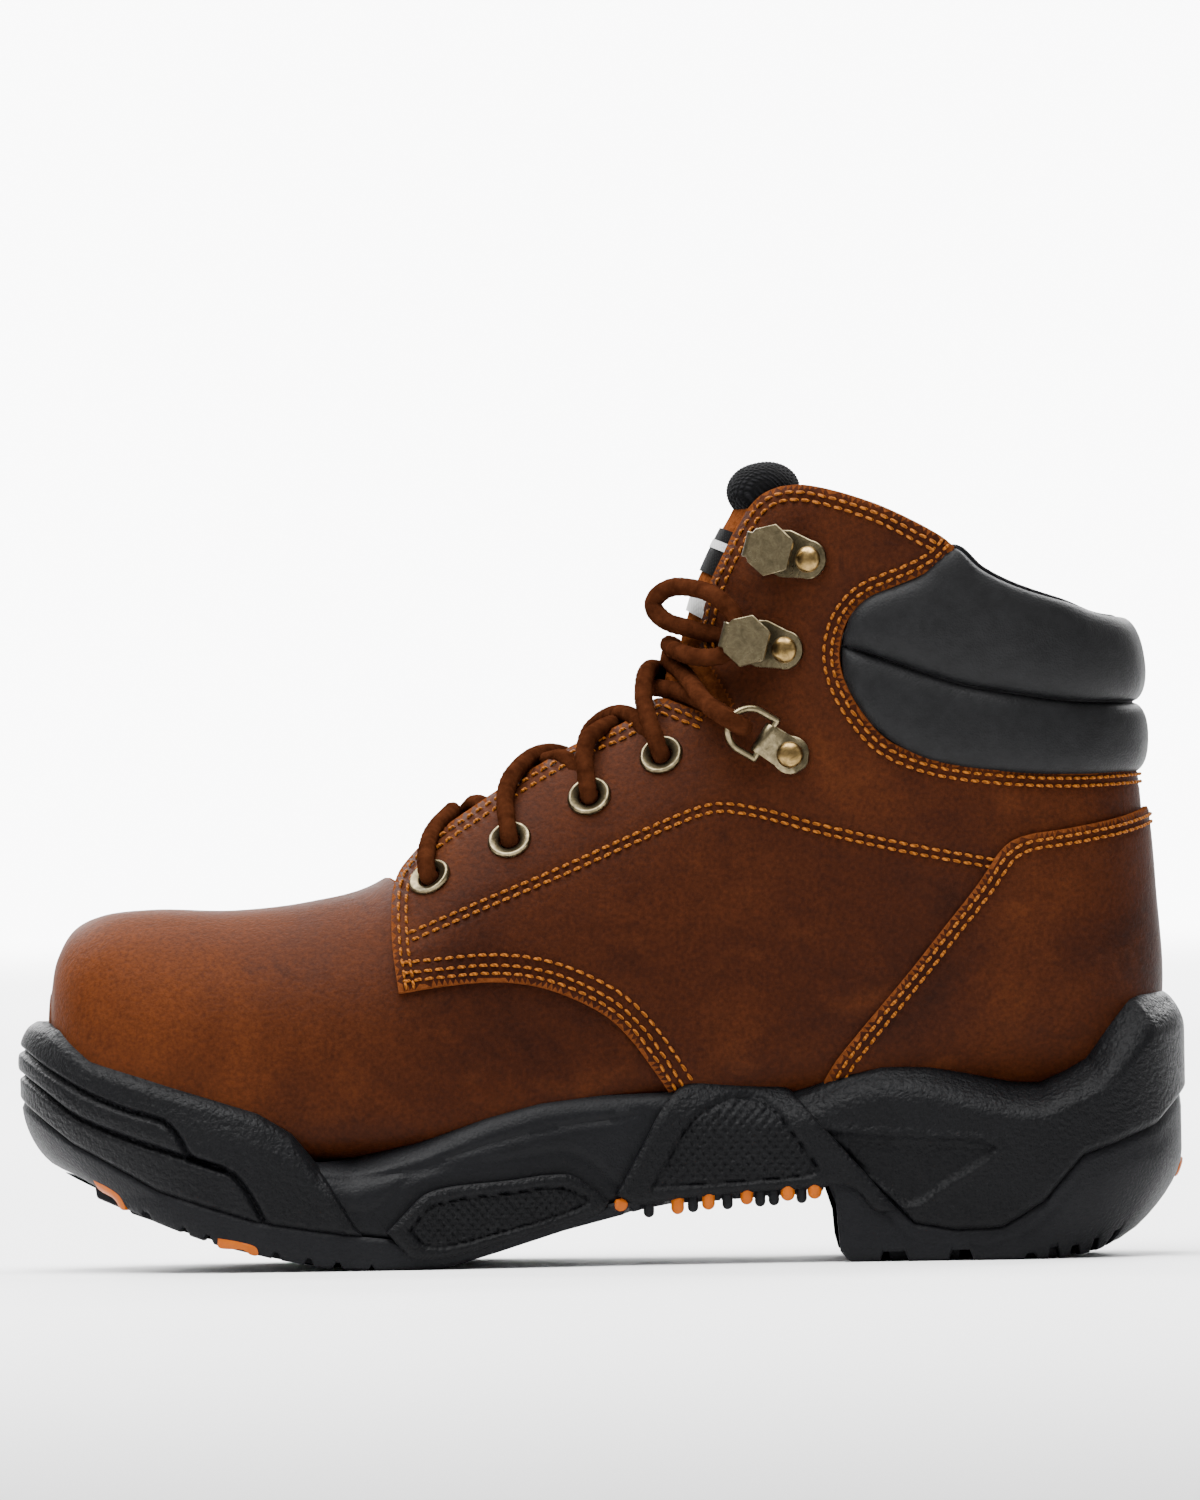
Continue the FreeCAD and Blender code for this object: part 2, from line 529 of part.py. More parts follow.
def build_lace():
    points = lace_half(1)[::-1] + lace_half(-1)
    cord(points, "lace")
    for name, side in SIDES:
        tail = lace_half(-side)[-2:]
        at = tail[1]
        ahead = (tail[1] - tail[0]).normalize()
        save(Part.makeCylinder(LACE / 2 - 0.5, 18, at, ahead), "aglet_" + name)


build_upper()
build_collar()
build_tongue()
build_sole()
build_hardware()
build_lace()
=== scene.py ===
import math

import bpy
import numpy as np
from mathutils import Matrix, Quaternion, Vector, geometry
from mathutils.bvhtree import BVHTree


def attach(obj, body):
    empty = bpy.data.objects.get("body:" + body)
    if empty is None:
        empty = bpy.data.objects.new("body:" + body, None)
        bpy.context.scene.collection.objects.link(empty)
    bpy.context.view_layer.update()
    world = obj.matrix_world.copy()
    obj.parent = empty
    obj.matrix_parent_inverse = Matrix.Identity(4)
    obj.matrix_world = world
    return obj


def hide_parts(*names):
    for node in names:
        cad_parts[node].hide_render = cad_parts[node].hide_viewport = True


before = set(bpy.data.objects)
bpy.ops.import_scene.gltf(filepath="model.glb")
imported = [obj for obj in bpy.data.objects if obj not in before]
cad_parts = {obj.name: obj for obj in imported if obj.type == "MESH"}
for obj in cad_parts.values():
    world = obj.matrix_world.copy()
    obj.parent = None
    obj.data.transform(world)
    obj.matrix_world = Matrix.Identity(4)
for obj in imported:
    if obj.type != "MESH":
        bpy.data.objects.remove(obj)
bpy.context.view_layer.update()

# The camera, the lamps and the floor are in metres. All other lengths are in millimetres, in the part's own
# frame, and MM turns them into metres.
MM = 0.001
RNG = np.random.default_rng(7)
SIDES = (("medial", -1), ("lateral", 1))

# ---- camera and light ----------------------------------------------------------------------------
EYE = Vector((0.001, -6.0, 0.165))
AIM = Vector((0.001, 0.0, 0.1345))
VIEW_HEIGHT = 0.394        # how much the camera sees of the plane through the boot's middle
ROLL = math.radians(-0.9)


def make_stage():
    """Camera, floor and lamps. The camera is far off, square to the medial side."""
    camera = bpy.data.objects.new("camera", bpy.data.cameras.new("camera"))
    bpy.context.collection.objects.link(camera)
    camera.location = EYE
    level = (AIM - EYE).to_track_quat("-Z", "Y")
    camera.rotation_euler = (level @ Quaternion((0.0, 0.0, 1.0), ROLL)).to_euler()
    camera.data.sensor_width = 36.0
    camera.data.lens = 36.0 * (AIM - EYE).length / VIEW_HEIGHT
    camera.data.clip_start = 0.05
    camera.data.clip_end = 20.0
    bpy.context.scene.camera = camera

    floor = sweep_floor()
    world = bpy.data.worlds.new("studio")
    world.use_nodes = True
    world.node_tree.nodes["Background"].inputs["Color"].default_value = (1.0, 1.0, 1.0, 1.0)
    world.node_tree.nodes["Background"].inputs["Strength"].default_value = 0.30
    bpy.context.scene.world = world
    lamp("top", (-0.25, -0.25, 1.5), (0.0, 0.05, 0.0), 1.5, 100.0)
    lamp("key", (-1.2, -1.3, 1.1), (0.0, 0.0, 0.08), 0.8, 5.0)
    lamp("fill", (1.3, -1.2, 0.8), (0.03, 0.0, 0.1), 0.9, 3.0)
    lamp("back", (0.2, 1.3, 1.5), (0.0, 0.0, 0.1), 1.0, 7.0)
    for x in (-1.3, 1.3):
        lamp("wall", (x, 6.4, 1.6), (x * 0.2, 8.2, 0.7), 1.0, 190.0)
        for y in (1.9, 4.2, 6.2):
            lamp("far floor", (x, y, 1.7), (x * 0.3, y + 0.2, 0.0), 1.0, 110.0)


def lamp(name, place, aim, size, power):
    light = bpy.data.lights.new(name, "AREA")
    light.shape = "SQUARE"
    light.size = size
    light.energy = power
    holder = bpy.data.objects.new(name, light)
    holder.location = place
    holder.rotation_euler = (Vector(aim) - Vector(place)).to_track_quat("-Z", "Y").to_euler()
    bpy.context.collection.objects.link(holder)


def sweep_floor():
    """A pale floor that curves up into a backdrop far behind the boot."""
    radius, depth, width, height = 1.2, 7.0, 7.0, 3.0
    profile = [(-9.0, 0.0), (depth, 0.0)]
    for i in range(1, 13):
        turn = math.pi / 2 * i / 12
        profile.append((depth + radius * math.sin(turn), radius * (1 - math.cos(turn))))
    profile.append((depth + radius, height))
    verts = [(x, y, z) for y, z in profile for x in (-width, width)]
    faces = [(2 * i, 2 * i + 1, 2 * i + 3, 2 * i + 2) for i in range(len(profile) - 1)]
    mesh = bpy.data.meshes.new("floor")
    mesh.from_pydata(verts, [], faces)
    for face in mesh.polygons:
        face.use_smooth = True
    floor = bpy.data.objects.new("floor", mesh)
    bpy.context.collection.objects.link(floor)
    mesh.materials.append(floor_material())
    return floor


def floor_material():
    material = bpy.data.materials.new("floor")
    material.use_nodes = True
    shader = material.node_tree.nodes["Principled BSDF"]
    shader.inputs["Base Color"].default_value = (0.95, 0.95, 0.955, 1.0)
    shader.inputs["Roughness"].default_value = 0.6
    return material


# ---- the boot's form -----------------------------------------------------------------------------
# Sections from the toe, round the heel, to the top of the shaft: ridge x, ridge z, far x, far z, half
# breadth, place of the widest point, roundness at the ridge, roundness at the far end, share along x.
STATIONS = np.array([
    (-146.0, 74.0, -146.0, 42.0, 13.0, 0.50, 2.2, 2.6, 1.00),
    (-144.0, 83.0, -144.0, 33.0, 22.0, 0.55, 2.3, 3.0, 0.85),
    (-139.0, 91.0, -140.0, 28.0, 30.5, 0.62, 2.4, 3.6, 0.60),
    (-131.0, 95.0, -131.0, 26.0, 37.5, 0.66, 2.5, 4.0, 0.40),
    (-117.0, 96.5, -117.0, 25.0, 43.0, 0.68, 2.5, 4.5, 0.20),
    (-96.0, 96.0, -95.0, 24.5, 47.0, 0.70, 2.4, 4.5, 0.05),
    (-76.0, 98.0, -72.0, 24.5, 49.0, 0.70, 2.3, 4.5, 0.0),
    (-58.0, 103.0, -45.0, 26.0, 48.5, 0.70, 2.3, 4.5, 0.0),
    (-41.0, 118.5, -15.0, 30.0, 45.5, 0.70, 2.5, 4.5, 0.0),
    (-23.0, 129.5, 20.0, 36.0, 41.0, 0.68, 2.6, 4.2, 0.0),
    (-6.0, 139.5, 60.0, 39.0, 38.0, 0.64, 2.6, 3.8, 0.0),
    (9.0, 147.5, 105.0, 40.0, 36.5, 0.60, 2.5, 3.2, 0.0),
    (16.0, 152.0, 138.0, 44.0, 36.0, 0.58, 2.5, 2.7, 0.0),
    (21.0, 159.0, 145.5, 66.0, 36.5, 0.58, 2.4, 2.4, 0.0),
    (24.0, 169.0, 144.5, 98.0, 36.5, 0.58, 2.3, 2.3, 0.0),
    (28.0, 181.0, 142.5, 126.0, 36.5, 0.56, 2.3, 2.2, 0.0),
    (34.0, 193.0, 142.0, 150.0, 37.0, 0.55, 2.3, 2.2, 0.0),
    (46.0, 214.0, 136.0, 186.0, 38.5, 0.55, 2.3, 2.2, 0.0),
])
CENTRE = np.array([(-152, -5), (-110, -4), (-60, 0), (0, 3), (40, 3), (90, 1), (152, 0)], float)
PLAN = np.array([
    (-152, 0), (-150.5, 12), (-146, 23), (-138, 33), (-125, 41.5), (-105, 48), (-80, 52), (-55, 52.5),
    (-25, 49), (0, 45), (25, 41.5), (50, 40), (75, 40), (100, 41), (120, 40.5), (135, 36), (145, 27),
    (150.5, 14), (152, 0),
], float)


def centre_shift(x):
    """Sideways shift of the foot's centre line at x."""
    x = np.clip(np.asarray(x, float), CENTRE[0, 0], CENTRE[-1, 0])
    i = np.clip(np.searchsorted(CENTRE[:, 0], x) - 1, 0, len(CENTRE) - 2)
    t = (x - CENTRE[i, 0]) / (CENTRE[i + 1, 0] - CENTRE[i, 0])
    return CENTRE[i, 1] + (CENTRE[i + 1, 1] - CENTRE[i, 1]) * t * t * (3 - 2 * t)


def spline(points, per_run=8, closed=False):
    """Smooth curve through the points, as many more points."""
    p = np.array(points, float)
    if len(p) < 3 and not closed:
        t = np.linspace(0, 1, per_run * 2)[:, None]
        return p[0] + (p[-1] - p[0]) * t
    if closed:
        q = np.vstack([p[-1], p, p[:2]])
    else:
        q = np.vstack([2 * p[0] - p[1], p, 2 * p[-1] - p[-2]])
    out = []
    for a, b, c, d in zip(q, q[1:], q[2:], q[3:]):
        ta = 0.0
        tb = max(np.linalg.norm(b - a), 1e-6) ** 0.5
        tc = tb + max(np.linalg.norm(c - b), 1e-6) ** 0.5
        td = tc + max(np.linalg.norm(d - c), 1e-6) ** 0.5
        t = np.linspace(tb, tc, per_run, endpoint=False)[:, None]
        ab = (tb - t) / (tb - ta) * a + (t - ta) / (tb - ta) * b
        bc = (tc - t) / (tc - tb) * b + (t - tb) / (tc - tb) * c
        cd = (td - t) / (td - tc) * c + (t - tc) / (td - tc) * d
        abc = (tc - t) / (tc - ta) * ab + (t - ta) / (tc - ta) * bc
        bcd = (td - t) / (td - tb) * bc + (t - tb) / (td - tb) * cd
        out.append((tc - t) / (tc - tb) * abc + (t - tb) / (tc - tb) * bcd)
    line = np.vstack(out)
    return line if closed else np.vstack([line, p[-1]])


def join(*parts):
    """Outline of smooth curves that meet at corners."""
    return np.vstack([spline(part)[:-1] for part in parts])


def even(line, step, closed=False):
    """The line again, with points evenly spaced along it."""
    line = np.asarray(line, float)
    if closed:
        line = np.vstack([line, line[:1]])
    runs = np.linalg.norm(np.diff(line, axis=0), axis=1)
    along = np.concatenate([[0], np.cumsum(runs)])
    count = max(int(round(along[-1] / step)), 2)
    at = np.linspace(0, along[-1], count + 1)
    if closed:
        at = at[:-1]
    return np.stack([np.interp(at, along, line[:, k]) for k in range(line.shape[1])], axis=1)


STATION_CURVES = spline(STATIONS, 16)


def form_points(u, angle, depth=0.0):
    """Points of the form: u counts stations from the toe, angle runs from the ridge round each side."""
    u, angle = np.broadcast_arrays(np.asarray(u, float), np.asarray(angle, float))
    at = np.clip(u, 0, len(STATIONS) - 1) * 16
    i = np.minimum(at.astype(int), len(STATION_CURVES) - 2)
    t = (at - i)[..., None]
    row = STATION_CURVES[i] * (1 - t) + STATION_CURVES[i + 1] * t
    rx, rz, fx, fz, breadth, widest, near_power, far_power, along = np.moveaxis(row, -1, 0)
    length = np.hypot(fx - rx, fz - rz)
    ux, uz = (fx - rx) / length, (fz - rz) / length
    inward = depth * np.sqrt(1 - along * along * 0.75)
    shift = centre_shift((rx + fx) / 2)
    rx, rz = rx + ux * inward + depth * along, rz + uz * inward
    length = length - 2 * inward
    breadth = breadth - inward
    c, s = np.cos(angle), np.sin(angle)
    power = np.where(c >= 0, near_power, far_power)
    away = np.abs(c) ** (2 / power)
    share = np.where(c >= 0, widest * (1 - away), widest + (1 - widest) * away)
    side = breadth * np.abs(s) ** (2 / power) * np.sign(s)
    return np.stack([rx + ux * length * share, shift + side, rz + uz * length * share], axis=-1)


def tree_of(depth):
    """Ray tree of the whole form, set in by depth."""
    u = np.linspace(0, len(STATIONS) - 1, 240)
    a = np.linspace(0, 2 * math.pi, 181)[:-1]
    p = form_points(u[:, None], a[None, :], depth)
    rows, cols = p.shape[:2]
    faces = []
    for r in range(rows - 1):
        for c in range(cols):
            d = (c + 1) % cols
            faces.append((r * cols + c, (r + 1) * cols + c, (r + 1) * cols + d, r * cols + d))
    faces.append(tuple(range(cols)))
    faces.append(tuple(range((rows - 1) * cols, rows * cols)))
    return BVHTree.FromPolygons(p.reshape(-1, 3).tolist(), faces)


FORM_TREE = tree_of(0.0)
AXIS_X = 112.0             # side-view x where the way round the heel begins
ROUND = 58.0               # from there to the centre line at the back, measured along the leather
BACK = AXIS_X + ROUND


def shoot(origin, direction):
    """Where a ray meets the form, or None."""
    hit = FORM_TREE.ray_cast(Vector(origin), Vector(direction))
    return hit[0]


def on_leather(points):
    """Points of the form's side wall, for triples of x as seen from the side, height and side (-1 medial).

    Past AXIS_X the first value is the way round the heel.
    """
    out = np.empty((len(points), 3))
    for k, (x, z, side) in enumerate(points):
        if x <= AXIS_X:
            origin, way = (x, side * 120.0, z), (0, -side, 0)
        else:
            turn = (x - AXIS_X) / ROUND * math.pi / 2
            way = (-math.sin(turn), -side * math.cos(turn), 0)
            origin = (AXIS_X - way[0] * 120, centre_shift(AXIS_X) - way[1] * 120, z)
        hit = shoot(origin, way)
        if hit is None:
            near = FORM_TREE.find_nearest(Vector((x, centre_shift(x) + side * 8.0, z)))
            hit = near[0]
        out[k] = hit
    return out


def side_space(side):
    return lambda p: on_leather([(x, z, side) for x, z in p])


def back_space(p):
    """Wraps round the heel: the first coordinate is the way from the centre line at the back."""
    return on_leather([(BACK - abs(c), z, 1 if c >= 0 else -1) for c, z in p])


# ---- sole wall -----------------------------------------------------------------------------------
def plan_curve():
    """The sole's edge seen from below, from the toe along the medial side and back."""
    left = [(x, centre_shift(x) - w) for x, w in PLAN]
    right = [(x, centre_shift(x) + w) for x, w in PLAN[1:-1][::-1]]
    return even(spline(left + right, 12, closed=True), 0.5, closed=True)


PLAN_LINE = plan_curve()
PLAN_STEPS = np.linalg.norm(np.diff(np.vstack([PLAN_LINE, PLAN_LINE[:1]]), axis=0), axis=1)
PLAN_ALONG = np.concatenate([[0], np.cumsum(PLAN_STEPS)])
PLAN_LENGTH = PLAN_ALONG[-1]
PLAN_AHEAD = np.roll(PLAN_LINE, -1, axis=0) - np.roll(PLAN_LINE, 1, axis=0)
PLAN_AHEAD /= np.linalg.norm(PLAN_AHEAD, axis=1)[:, None]
PLAN_OUT = np.stack([PLAN_AHEAD[:, 1], -PLAN_AHEAD[:, 0]], axis=1)


def plan_at(s):
    """Place and outward way of the plan's edge, s along it from the toe, medial side first."""
    s = np.mod(s, PLAN_LENGTH)
    place = np.stack([np.interp(s, PLAN_ALONG, np.append(PLAN_LINE[:, k], PLAN_LINE[0, k]))
                      for k in (0, 1)], 1)
    out = np.stack([np.interp(s, PLAN_ALONG, np.append(PLAN_OUT[:, k], PLAN_OUT[0, k])) for k in (0, 1)], 1)
    return place, out / np.linalg.norm(out, axis=1)[:, None]


HALF_WAY = PLAN_ALONG[int(np.argmax(PLAN_LINE[:, 0]))]


def along_plan(x, side):
    """Distance along the plan's edge at x, from the toe on the medial side, counted down on the other."""
    one = PLAN_ALONG[:-1] <= HALF_WAY
    if side < 0:
        return np.interp(x, PLAN_LINE[one, 0], PLAN_ALONG[:-1][one])
    other = ~one
    return np.interp(x, PLAN_LINE[other, 0][::-1], PLAN_ALONG[:-1][other][::-1])


GROUND_TABLE = np.array([
    (-152, 27), (-147, 25.5), (-140, 22.5), (-127, 16.5), (-113, 11.5), (-100, 7), (-86, 3.5), (-73, 1),
    (-60, 0), (-42, 0), (-28, 4), (-10, 9.5), (14, 15.5), (59, 18.5), (60.5, 17), (61.5, 3), (64, 0),
    (118, 0), (131, 1.5), (148, 3.5), (152, 4),
])


def ground(x):
    return np.interp(x, GROUND_TABLE[:, 0], GROUND_TABLE[:, 1])


def wall_inset(x, z):
    """How far the wall is set in at the turned-up toe and at the bevel behind the heel."""
    toe = np.clip((-104 - x) / 48, 0, 1) ** 1.4
    low_toe = np.clip((46 - z) / 20, 0, 1.3)
    heel = np.clip((x - 108) / 44, 0, 1)
    low_heel = np.clip((27 - z) / 24, 0, 1)
    foot = np.clip((5 - (z - ground(x))) / 5, 0, 1) ** 2
    return toe * low_toe ** 2.2 * 9.5 + heel * low_heel ** 1.7 * 17.0 + foot


WALL_TOP = np.array([
    (-152, 69), (-145, 64), (-135, 56), (-114, 49), (-90, 41.5), (-81, 37), (-74, 30), (-65, 29), (-47, 33),
    (-29, 39.5), (-15, 43), (-3, 44.5), (19, 46), (50, 44.5), (64, 50), (73, 52), (85, 51.5), (107, 47),
    (115, 46.5), (130, 52.5), (144.5, 68), (152, 70),
], float)          # top line of the sole's wall in the side view


HUG = 11.0                 # how far below its top the wall starts to lean in to the leather


def top_gaps():
    """Smoothed distance from the plan's edge to the leather at the wall's top, all the way round."""
    ways = np.arange(0, PLAN_LENGTH, 2.0)
    place, out = plan_at(ways)
    gaps = np.zeros(len(ways))
    for k, (p, o) in enumerate(zip(place, out)):
        z = float(np.interp(p[0], WALL_TOP[:, 0], WALL_TOP[:, 1])) - 1.0
        hit = shoot((p[0] + o[0] * 30, p[1] + o[1] * 30, z), (-o[0], -o[1], 0))
        gaps[k] = math.dist((hit[0], hit[1]), p) if hit is not None else 3.0
        gaps[k] += 1.6 if p[0] < 5 else -0.3
    wide = np.ones(9) / 9
    return ways, np.convolve(np.concatenate([gaps[-4:], gaps, gaps[:4]]), wide, "valid")


GAP_WAYS, TOP_GAPS = top_gaps()


def on_wall(points):
    """Points of the sole's wall. The first coordinate runs along the plan's edge from the toe."""
    points = np.asarray(points, float)
    s, z = points[:, 0], points[:, 1]
    place, out = plan_at(s)
    top = np.interp(place[:, 0], WALL_TOP[:, 0], WALL_TOP[:, 1])
    lean = np.clip((z - (top - HUG)) / HUG, 0, 1.1)
    gap = np.interp(np.mod(s, PLAN_LENGTH), GAP_WAYS, TOP_GAPS)
    inset = wall_inset(place[:, 0], z) + np.maximum(gap, 0) * lean ** 2
    return np.stack([place[:, 0] - out[:, 0] * inset, place[:, 1] - out[:, 1] * inset, z], axis=1)


def wall_points(outline, side):
    """An outline of side-view x and z, as distances along the plan's edge on one side."""
    line = np.asarray(outline, float)
    return np.stack([along_plan(line[:, 0], side), line[:, 1]], axis=1)


# ---- meshes --------------------------------------------------------------------------------------
def inside(points, outline):
    """Which points lie inside a closed outline."""
    x, y = points[:, 0], points[:, 1]
    hit = np.zeros(len(points), bool)
    a, b = outline, np.roll(outline, -1, axis=0)
    for (x0, y0), (x1, y1) in zip(a, b):
        if y0 == y1:
            continue
        crosses = (y0 > y) != (y1 > y)
        hit ^= crosses & (x < (x1 - x0) * (y - y0) / (y1 - y0) + x0)
    return hit


def nearest(points, line):
    """Distance of each point from the nearest of the line's points."""
    out = np.empty(len(points))
    for k in range(0, len(points), 2000):
        part = points[k:k + 2000]
        gap = part[:, None, :] - line[None, :, :]
        out[k:k + 2000] = np.sqrt((gap ** 2).sum(-1).min(1))
    return out


def ridge(points, line, width, height):
    """Height of a soft ridge along a line at each point. A negative height is a groove."""
    return height * np.exp(-(nearest(points, line) / width) ** 2)


def triangles(outline, step, holes=()):
    """Points and triangles that fill an outline, with the points evenly spread."""
    loops = [even(outline, step, closed=True)] + [even(h, step * 0.7, closed=True) for h in holes]
    low, high = loops[0].min(0), loops[0].max(0)
    rows = np.arange(low[1], high[1], step * 0.87)
    grid = []
    for k, y in enumerate(rows):
        xs = np.arange(low[0] + (step / 2 if k % 2 else 0), high[0], step)
        grid.append(np.stack([xs, np.full(len(xs), y)], axis=1))
    grid = np.vstack(grid)
    keep = inside(grid, loops[0])
    for hole in loops[1:]:
        keep &= ~inside(grid, hole)
    grid = grid[keep]
    edge = np.vstack(loops)
    grid = grid[nearest(grid, edge) > step * 0.6]
    verts = [Vector(p) for p in np.vstack([edge, grid])]
    edges, start = [], 0
    for loop in loops:
        n = len(loop)
        edges += [(start + i, start + (i + 1) % n) for i in range(n)]
        start += n
    made = geometry.delaunay_2d_cdt(verts, edges, [], 1, 1e-6)
    flat = np.array([tuple(v) for v in made[0]])
    tris = np.array([f for f in made[2] if len(f) == 3])
    middle = flat[tris].mean(1)
    keep = inside(middle, loops[0])
    for hole in loops[1:]:
        keep &= ~inside(middle, hole)
    tris = tris[keep]
    a, b, c = flat[tris[:, 0]], flat[tris[:, 1]], flat[tris[:, 2]]
    area = (b[:, 0] - a[:, 0]) * (c[:, 1] - a[:, 1]) - (b[:, 1] - a[:, 1]) * (c[:, 0] - a[:, 0])
    tris[area < 0] = tris[area < 0][:, ::-1]
    return flat, tris[np.abs(area) > 1e-9], edge


def vertex_normals(p, tris):
    """Unit normals at the points of a mesh of triangles."""
    n = np.cross(p[tris[:, 1]] - p[tris[:, 0]], p[tris[:, 2]] - p[tris[:, 0]])
    out = np.zeros_like(p)
    for k in range(3):
        np.add.at(out, tris[:, k], n)
    return out / np.maximum(np.linalg.norm(out, axis=1), 1e-12)[:, None]


def boundary_edges(tris):
    """Edges that only one triangle has."""
    directed = np.vstack([tris[:, [0, 1]], tris[:, [1, 2]], tris[:, [2, 0]]])
    known = set(map(tuple, directed.tolist()))
    return [(a, b) for a, b in directed.tolist() if (b, a) not in known]


def new_mesh(name, verts, faces, materials, slots=None, sharp=50.0):
    mesh = bpy.data.meshes.new(name)
    mesh.from_pydata((np.asarray(verts) * MM).tolist(), [], [tuple(f) for f in faces])
    for material in materials:
        mesh.materials.append(material)
    if slots is not None:
        mesh.polygons.foreach_set("material_index", np.asarray(slots, np.int32))
    mesh.polygons.foreach_set("use_smooth", np.ones(len(mesh.polygons), bool))
    mesh.set_sharp_from_angle(angle=math.radians(sharp))
    mesh.validate()
    mesh.update()
    thing = bpy.data.objects.new(name, mesh)
    bpy.context.collection.objects.link(thing)
    return thing


def sheet_mesh(name, outline, space, thickness, materials, step=1.5, holes=(), lift=0.0, relief=None,
               roll=0.0, flip=False, raw=0.0):
    """A panel of even thickness whose outline is drawn in the flat and laid on a surface.

    relief gives a height for each flat point; roll rounds the outer edge down by that much.
    """
    flat, tris, edge = triangles(outline, step, holes)
    base = space(flat)
    if flip:
        tris = tris[:, ::-1]
    n = vertex_normals(base, tris)
    height = np.full(len(flat), float(lift))
    near = nearest(flat, edge)
    if relief is not None:
        height = height + relief(flat)
    inner = base + n * (lift - thickness)
    if roll:
        height = height - roll * np.clip(1 - near / (roll * 2.2), 0, 1) ** 2
    outer = base + n * height[:, None]
    count = len(flat)
    faces = [tuple(t) for t in tris] + [tuple(t[::-1] + count) for t in tris]
    rim = near[tris].mean(axis=1) < raw
    slots = rim.astype(int).tolist() + [1] * len(tris)
    for a, b in boundary_edges(tris):
        faces.append((a, a + count, b + count, b))
        slots.append(1)
    if len(materials) == 1:
        slots = [0] * len(faces)
    return new_mesh(name, np.vstack([outer, inner]), faces, materials, slots)


def grid_faces(rows, cols, closed=False):
    faces = []
    for r in range(rows - 1):
        for c in range(cols if closed else cols - 1):
            d = (c + 1) % cols
            faces.append((r * cols + c, r * cols + d, (r + 1) * cols + d, (r + 1) * cols + c))
    return faces


def end_faces(rows, cols):
    """The two faces that close a tube of rings."""
    return [tuple(range(cols))[::-1], tuple(range((rows - 1) * cols, rows * cols))]


def tube_mesh(name, line, radius, materials, around=16, relief=None):
    """A round tube along a line, with its ends closed. relief scales the radius at each ring and turn."""
    line = np.asarray(line, float)
    ahead = np.gradient(line, axis=0)
    ahead /= np.linalg.norm(ahead, axis=1)[:, None]
    side = np.zeros_like(line)
    first = np.cross(ahead[0], (0.3, 0.2, 0.93))
    side[0] = first / np.linalg.norm(first)
    for k in range(1, len(line)):
        s = side[k - 1] - ahead[k] * side[k - 1].dot(ahead[k])
        side[k] = s / np.linalg.norm(s)
    up = np.cross(ahead, side)
    turn = np.arange(around) * 2 * math.pi / around
    steps = np.linalg.norm(np.diff(line, axis=0), axis=1)
    along = np.concatenate([[0], np.cumsum(steps)])
    r = np.full((len(line), around), radius) * (1 if relief is None
                                                else relief(along[:, None], turn[None, :]))
    ring = line[:, None, :] + r[..., None] * (
        np.cos(turn)[None, :, None] * side[:, None, :] + np.sin(turn)[None, :, None] * up[:, None, :])
    faces = grid_faces(len(line), around, closed=True) + end_faces(len(line), around)
    return new_mesh(name, ring.reshape(-1, 3), faces, materials)


